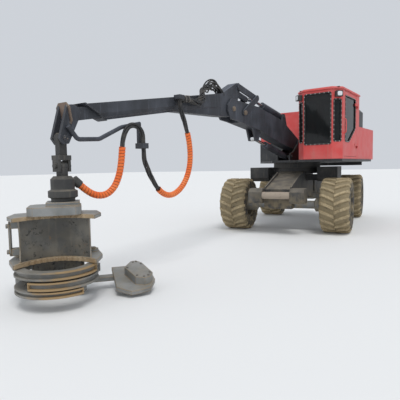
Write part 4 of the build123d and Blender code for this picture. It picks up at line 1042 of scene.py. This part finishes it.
PANEL_BACK = ((-0.05, 0.4), (-0.36, 0.27), (-0.4, 0.2), (-0.4, -0.2), (-0.36, -0.27), (-0.05, -0.4))
POST_OUTLINE = (
    (-0.4, -0.25), (-0.12, -0.33), (-0.09, -0.3), (-0.17, -0.12),
    (-0.17, 0.12), (-0.09, 0.3), (-0.12, 0.33), (-0.4, 0.25),
)
panel = bite(UPPER_REACH, 0.0)
panel = panel[np.abs(panel[:, 1]) < 0.405] - (0.055, 0)
column_forms = [
    prism(np.concatenate((panel, PANEL_BACK)), (-0.2, 0.0), LOWER_PLATE[1], UPPER_PLATE[0], 2),
    prism(POST_OUTLINE, (-0.3, 0.0), 0.18, LOWER_PLATE[0], 2),
]
piece = skin("head_column", [on_head(form) for form in column_forms], scoured_steel, "head", smooth=False)

# Lips: strips of hard steel welded along the bitten edges and a little thicker than the plates,
# rusty yellow and ragged.

lip_rust = steel("lip_rust", (0.3, 0.2, 0.105), (0.42, 0.32, 0.2), (0.5, 0.42, 0.32), wear=0.9, dusty=0.2)
LIP_OVER = 0.004
lips = []
for (low, high), reach in PLATES:
    edge = bite(reach, 0.026)
    inset = np.array((-0.04, 0.01, 0.01, -0.04))
    half = (high - low) / 2 + LIP_OVER
    rise = np.array((-half, 0.006 - half, half - 0.006, half))
    shrink = np.ones((len(edge), 1))
    shrink[[0, -1]] = 0.0
    x = edge[:, :1] + (inset + 0.015) * shrink - 0.015
    lips.append(on_head(joined(x, edge[:, 1:], (low + high) / 2 + rise * shrink)))
piece = skin("head_lips", lips, lip_rust, "head", smooth=False)

# Gathering arms: channel steel bent to a ring round the tree, each on a bored boss. Stems have worn
# the paint off their flanges towards the tips, where they rust.

arm_steel = steel(
    "arm_steel", (0.13, 0.132, 0.128), (0.22, 0.222, 0.215), (0.3, 0.28, 0.24),
    wear=0.6, dusty=0.3, mud=0.15, rough=0.42, edge=0.014,
)
shader, painted, spot = painted_over(arm_steel)
towards_tip = coordinates(arm_steel, "UV").axis("X").between(0.3, 0.95)
on_flange = coordinates(arm_steel, "UV").axis("Y").between(0.55, 0.95)
rusty = (towards_tip * on_flange + spot.noise(14, 5) * 0.7 - 0.42).between(0.15, 0.6)
feed(shader, (rusty * 0.85).mix(painted, (0.36, 0.235, 0.105)), "Base Color")

ARM_CENTRE = 0.15
ARM_INNER = 0.38
ARM_OUTER = 0.5
ARM_WEB = 0.462


def claw(side, low, high, sweep):
    """A channel bent round, closed at its ends: p = centre + r_k (cos a, sin a), a = a0 - side sweep t."""
    start = atan2(side * ARM_PIN[1], ARM_PIN[0] - ARM_CENTRE)
    plate = 0.009
    share = np.concatenate(((0, 0, plate), np.linspace(plate, 1 - plate, 49), (1 - plate, 1, 1)))[:, None]
    angle = start - side * radians(sweep) * share
    radius = np.tile((ARM_INNER, *[ARM_OUTER] * 6, ARM_INNER), (len(share), 1))
    radius[3:-3, 3:5] = ARM_WEB
    level = (low, low, low + 0.02, low + 0.027, high - 0.027, high - 0.02, high, high)
    height = np.tile(level, (len(share), 1))
    radius[[0, -1]] = (ARM_INNER + ARM_OUTER) / 2
    height[[0, -1]] = (low + high) / 2
    uv = joined(share, (radius - ARM_INNER) / (ARM_OUTER - ARM_INNER))
    return joined(ARM_CENTRE + radius * np.cos(angle), radius * np.sin(angle), height), uv


def boss(side, low, high):
    """A bored round hub on the arm's pin: a rectangle turned about the pin."""
    turn = np.linspace(0, tau, 41)[:, None]
    radius = np.array((0.0425, 0.095, 0.095, 0.0425))
    x = ARM_PIN[0] + radius * np.cos(turn)
    y = side * ARM_PIN[1] + radius * np.sin(turn)
    return joined(x, y, (low, low, high, high))


# node, body, side, levels, sweep in degrees
for name, body, side, low, high, sweep in (
    ("upper_arm", "arm_upper", -1, 0.396, 0.492, 200),
    ("lower_arm_left", "arm_left", 1, 0.278, 0.374, 165),
    ("lower_arm_right", "arm_right", -1, 0.186, 0.262, 165),
):
    grid, arm_places = claw(side, low, high, sweep)
    piece = skin(name + "_channel", [on_head(grid)], arm_steel, body, smooth=False, uv=arm_places)
    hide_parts(name)
    piece = skin(name + "_boss", [on_head(boss(side, low, high))], arm_steel, body, smooth=False)

# Saw unit: a thick steel plate that leans down to the front, with the saw's eight-sided box held on
# it by a ring of bolts.

dress(head_steel, "saw_box")
SAW_LEAN = radians(12)
SAW_LEVEL = 0.172
SAW_TOP = 0.11
SAW_BOLTS = (
    (-0.27, 0.985), (-0.28, 1.03), (-0.2, 1.085), (0.08, 1.165),
    (0.165, 1.13), (0.19, 1.07), (0.145, 0.985), (-0.11, 0.89),
)
x, y = np.array(SAW_BOLTS).T
saw_x = x * cos(SAW_LEAN) + SAW_TOP * sin(SAW_LEAN)
saw_z = SAW_LEVEL - x * sin(SAW_LEAN) + SAW_TOP * cos(SAW_LEAN)
saw_places = on_head(joined(saw_x, y, saw_z))
saw_heading = sin(SAW_LEAN) * head_front + cos(SAW_LEAN) * upward
piece = skin("saw_bolts", studs(saw_places, saw_heading, 0.016, 0.012), bolt_steel, "head", smooth=False)

# Hanger and rotator: a forged cross on two pins, and a round motor flanged under it, both in black
# paint and grease.

rotator_paint = steel(
    "rotator_paint", (0.03, 0.03, 0.03), (0.055, 0.054, 0.05), (0.22, 0.2, 0.17), dusty=0.5
)
dress(rotator_paint, "rotator", "hanger")
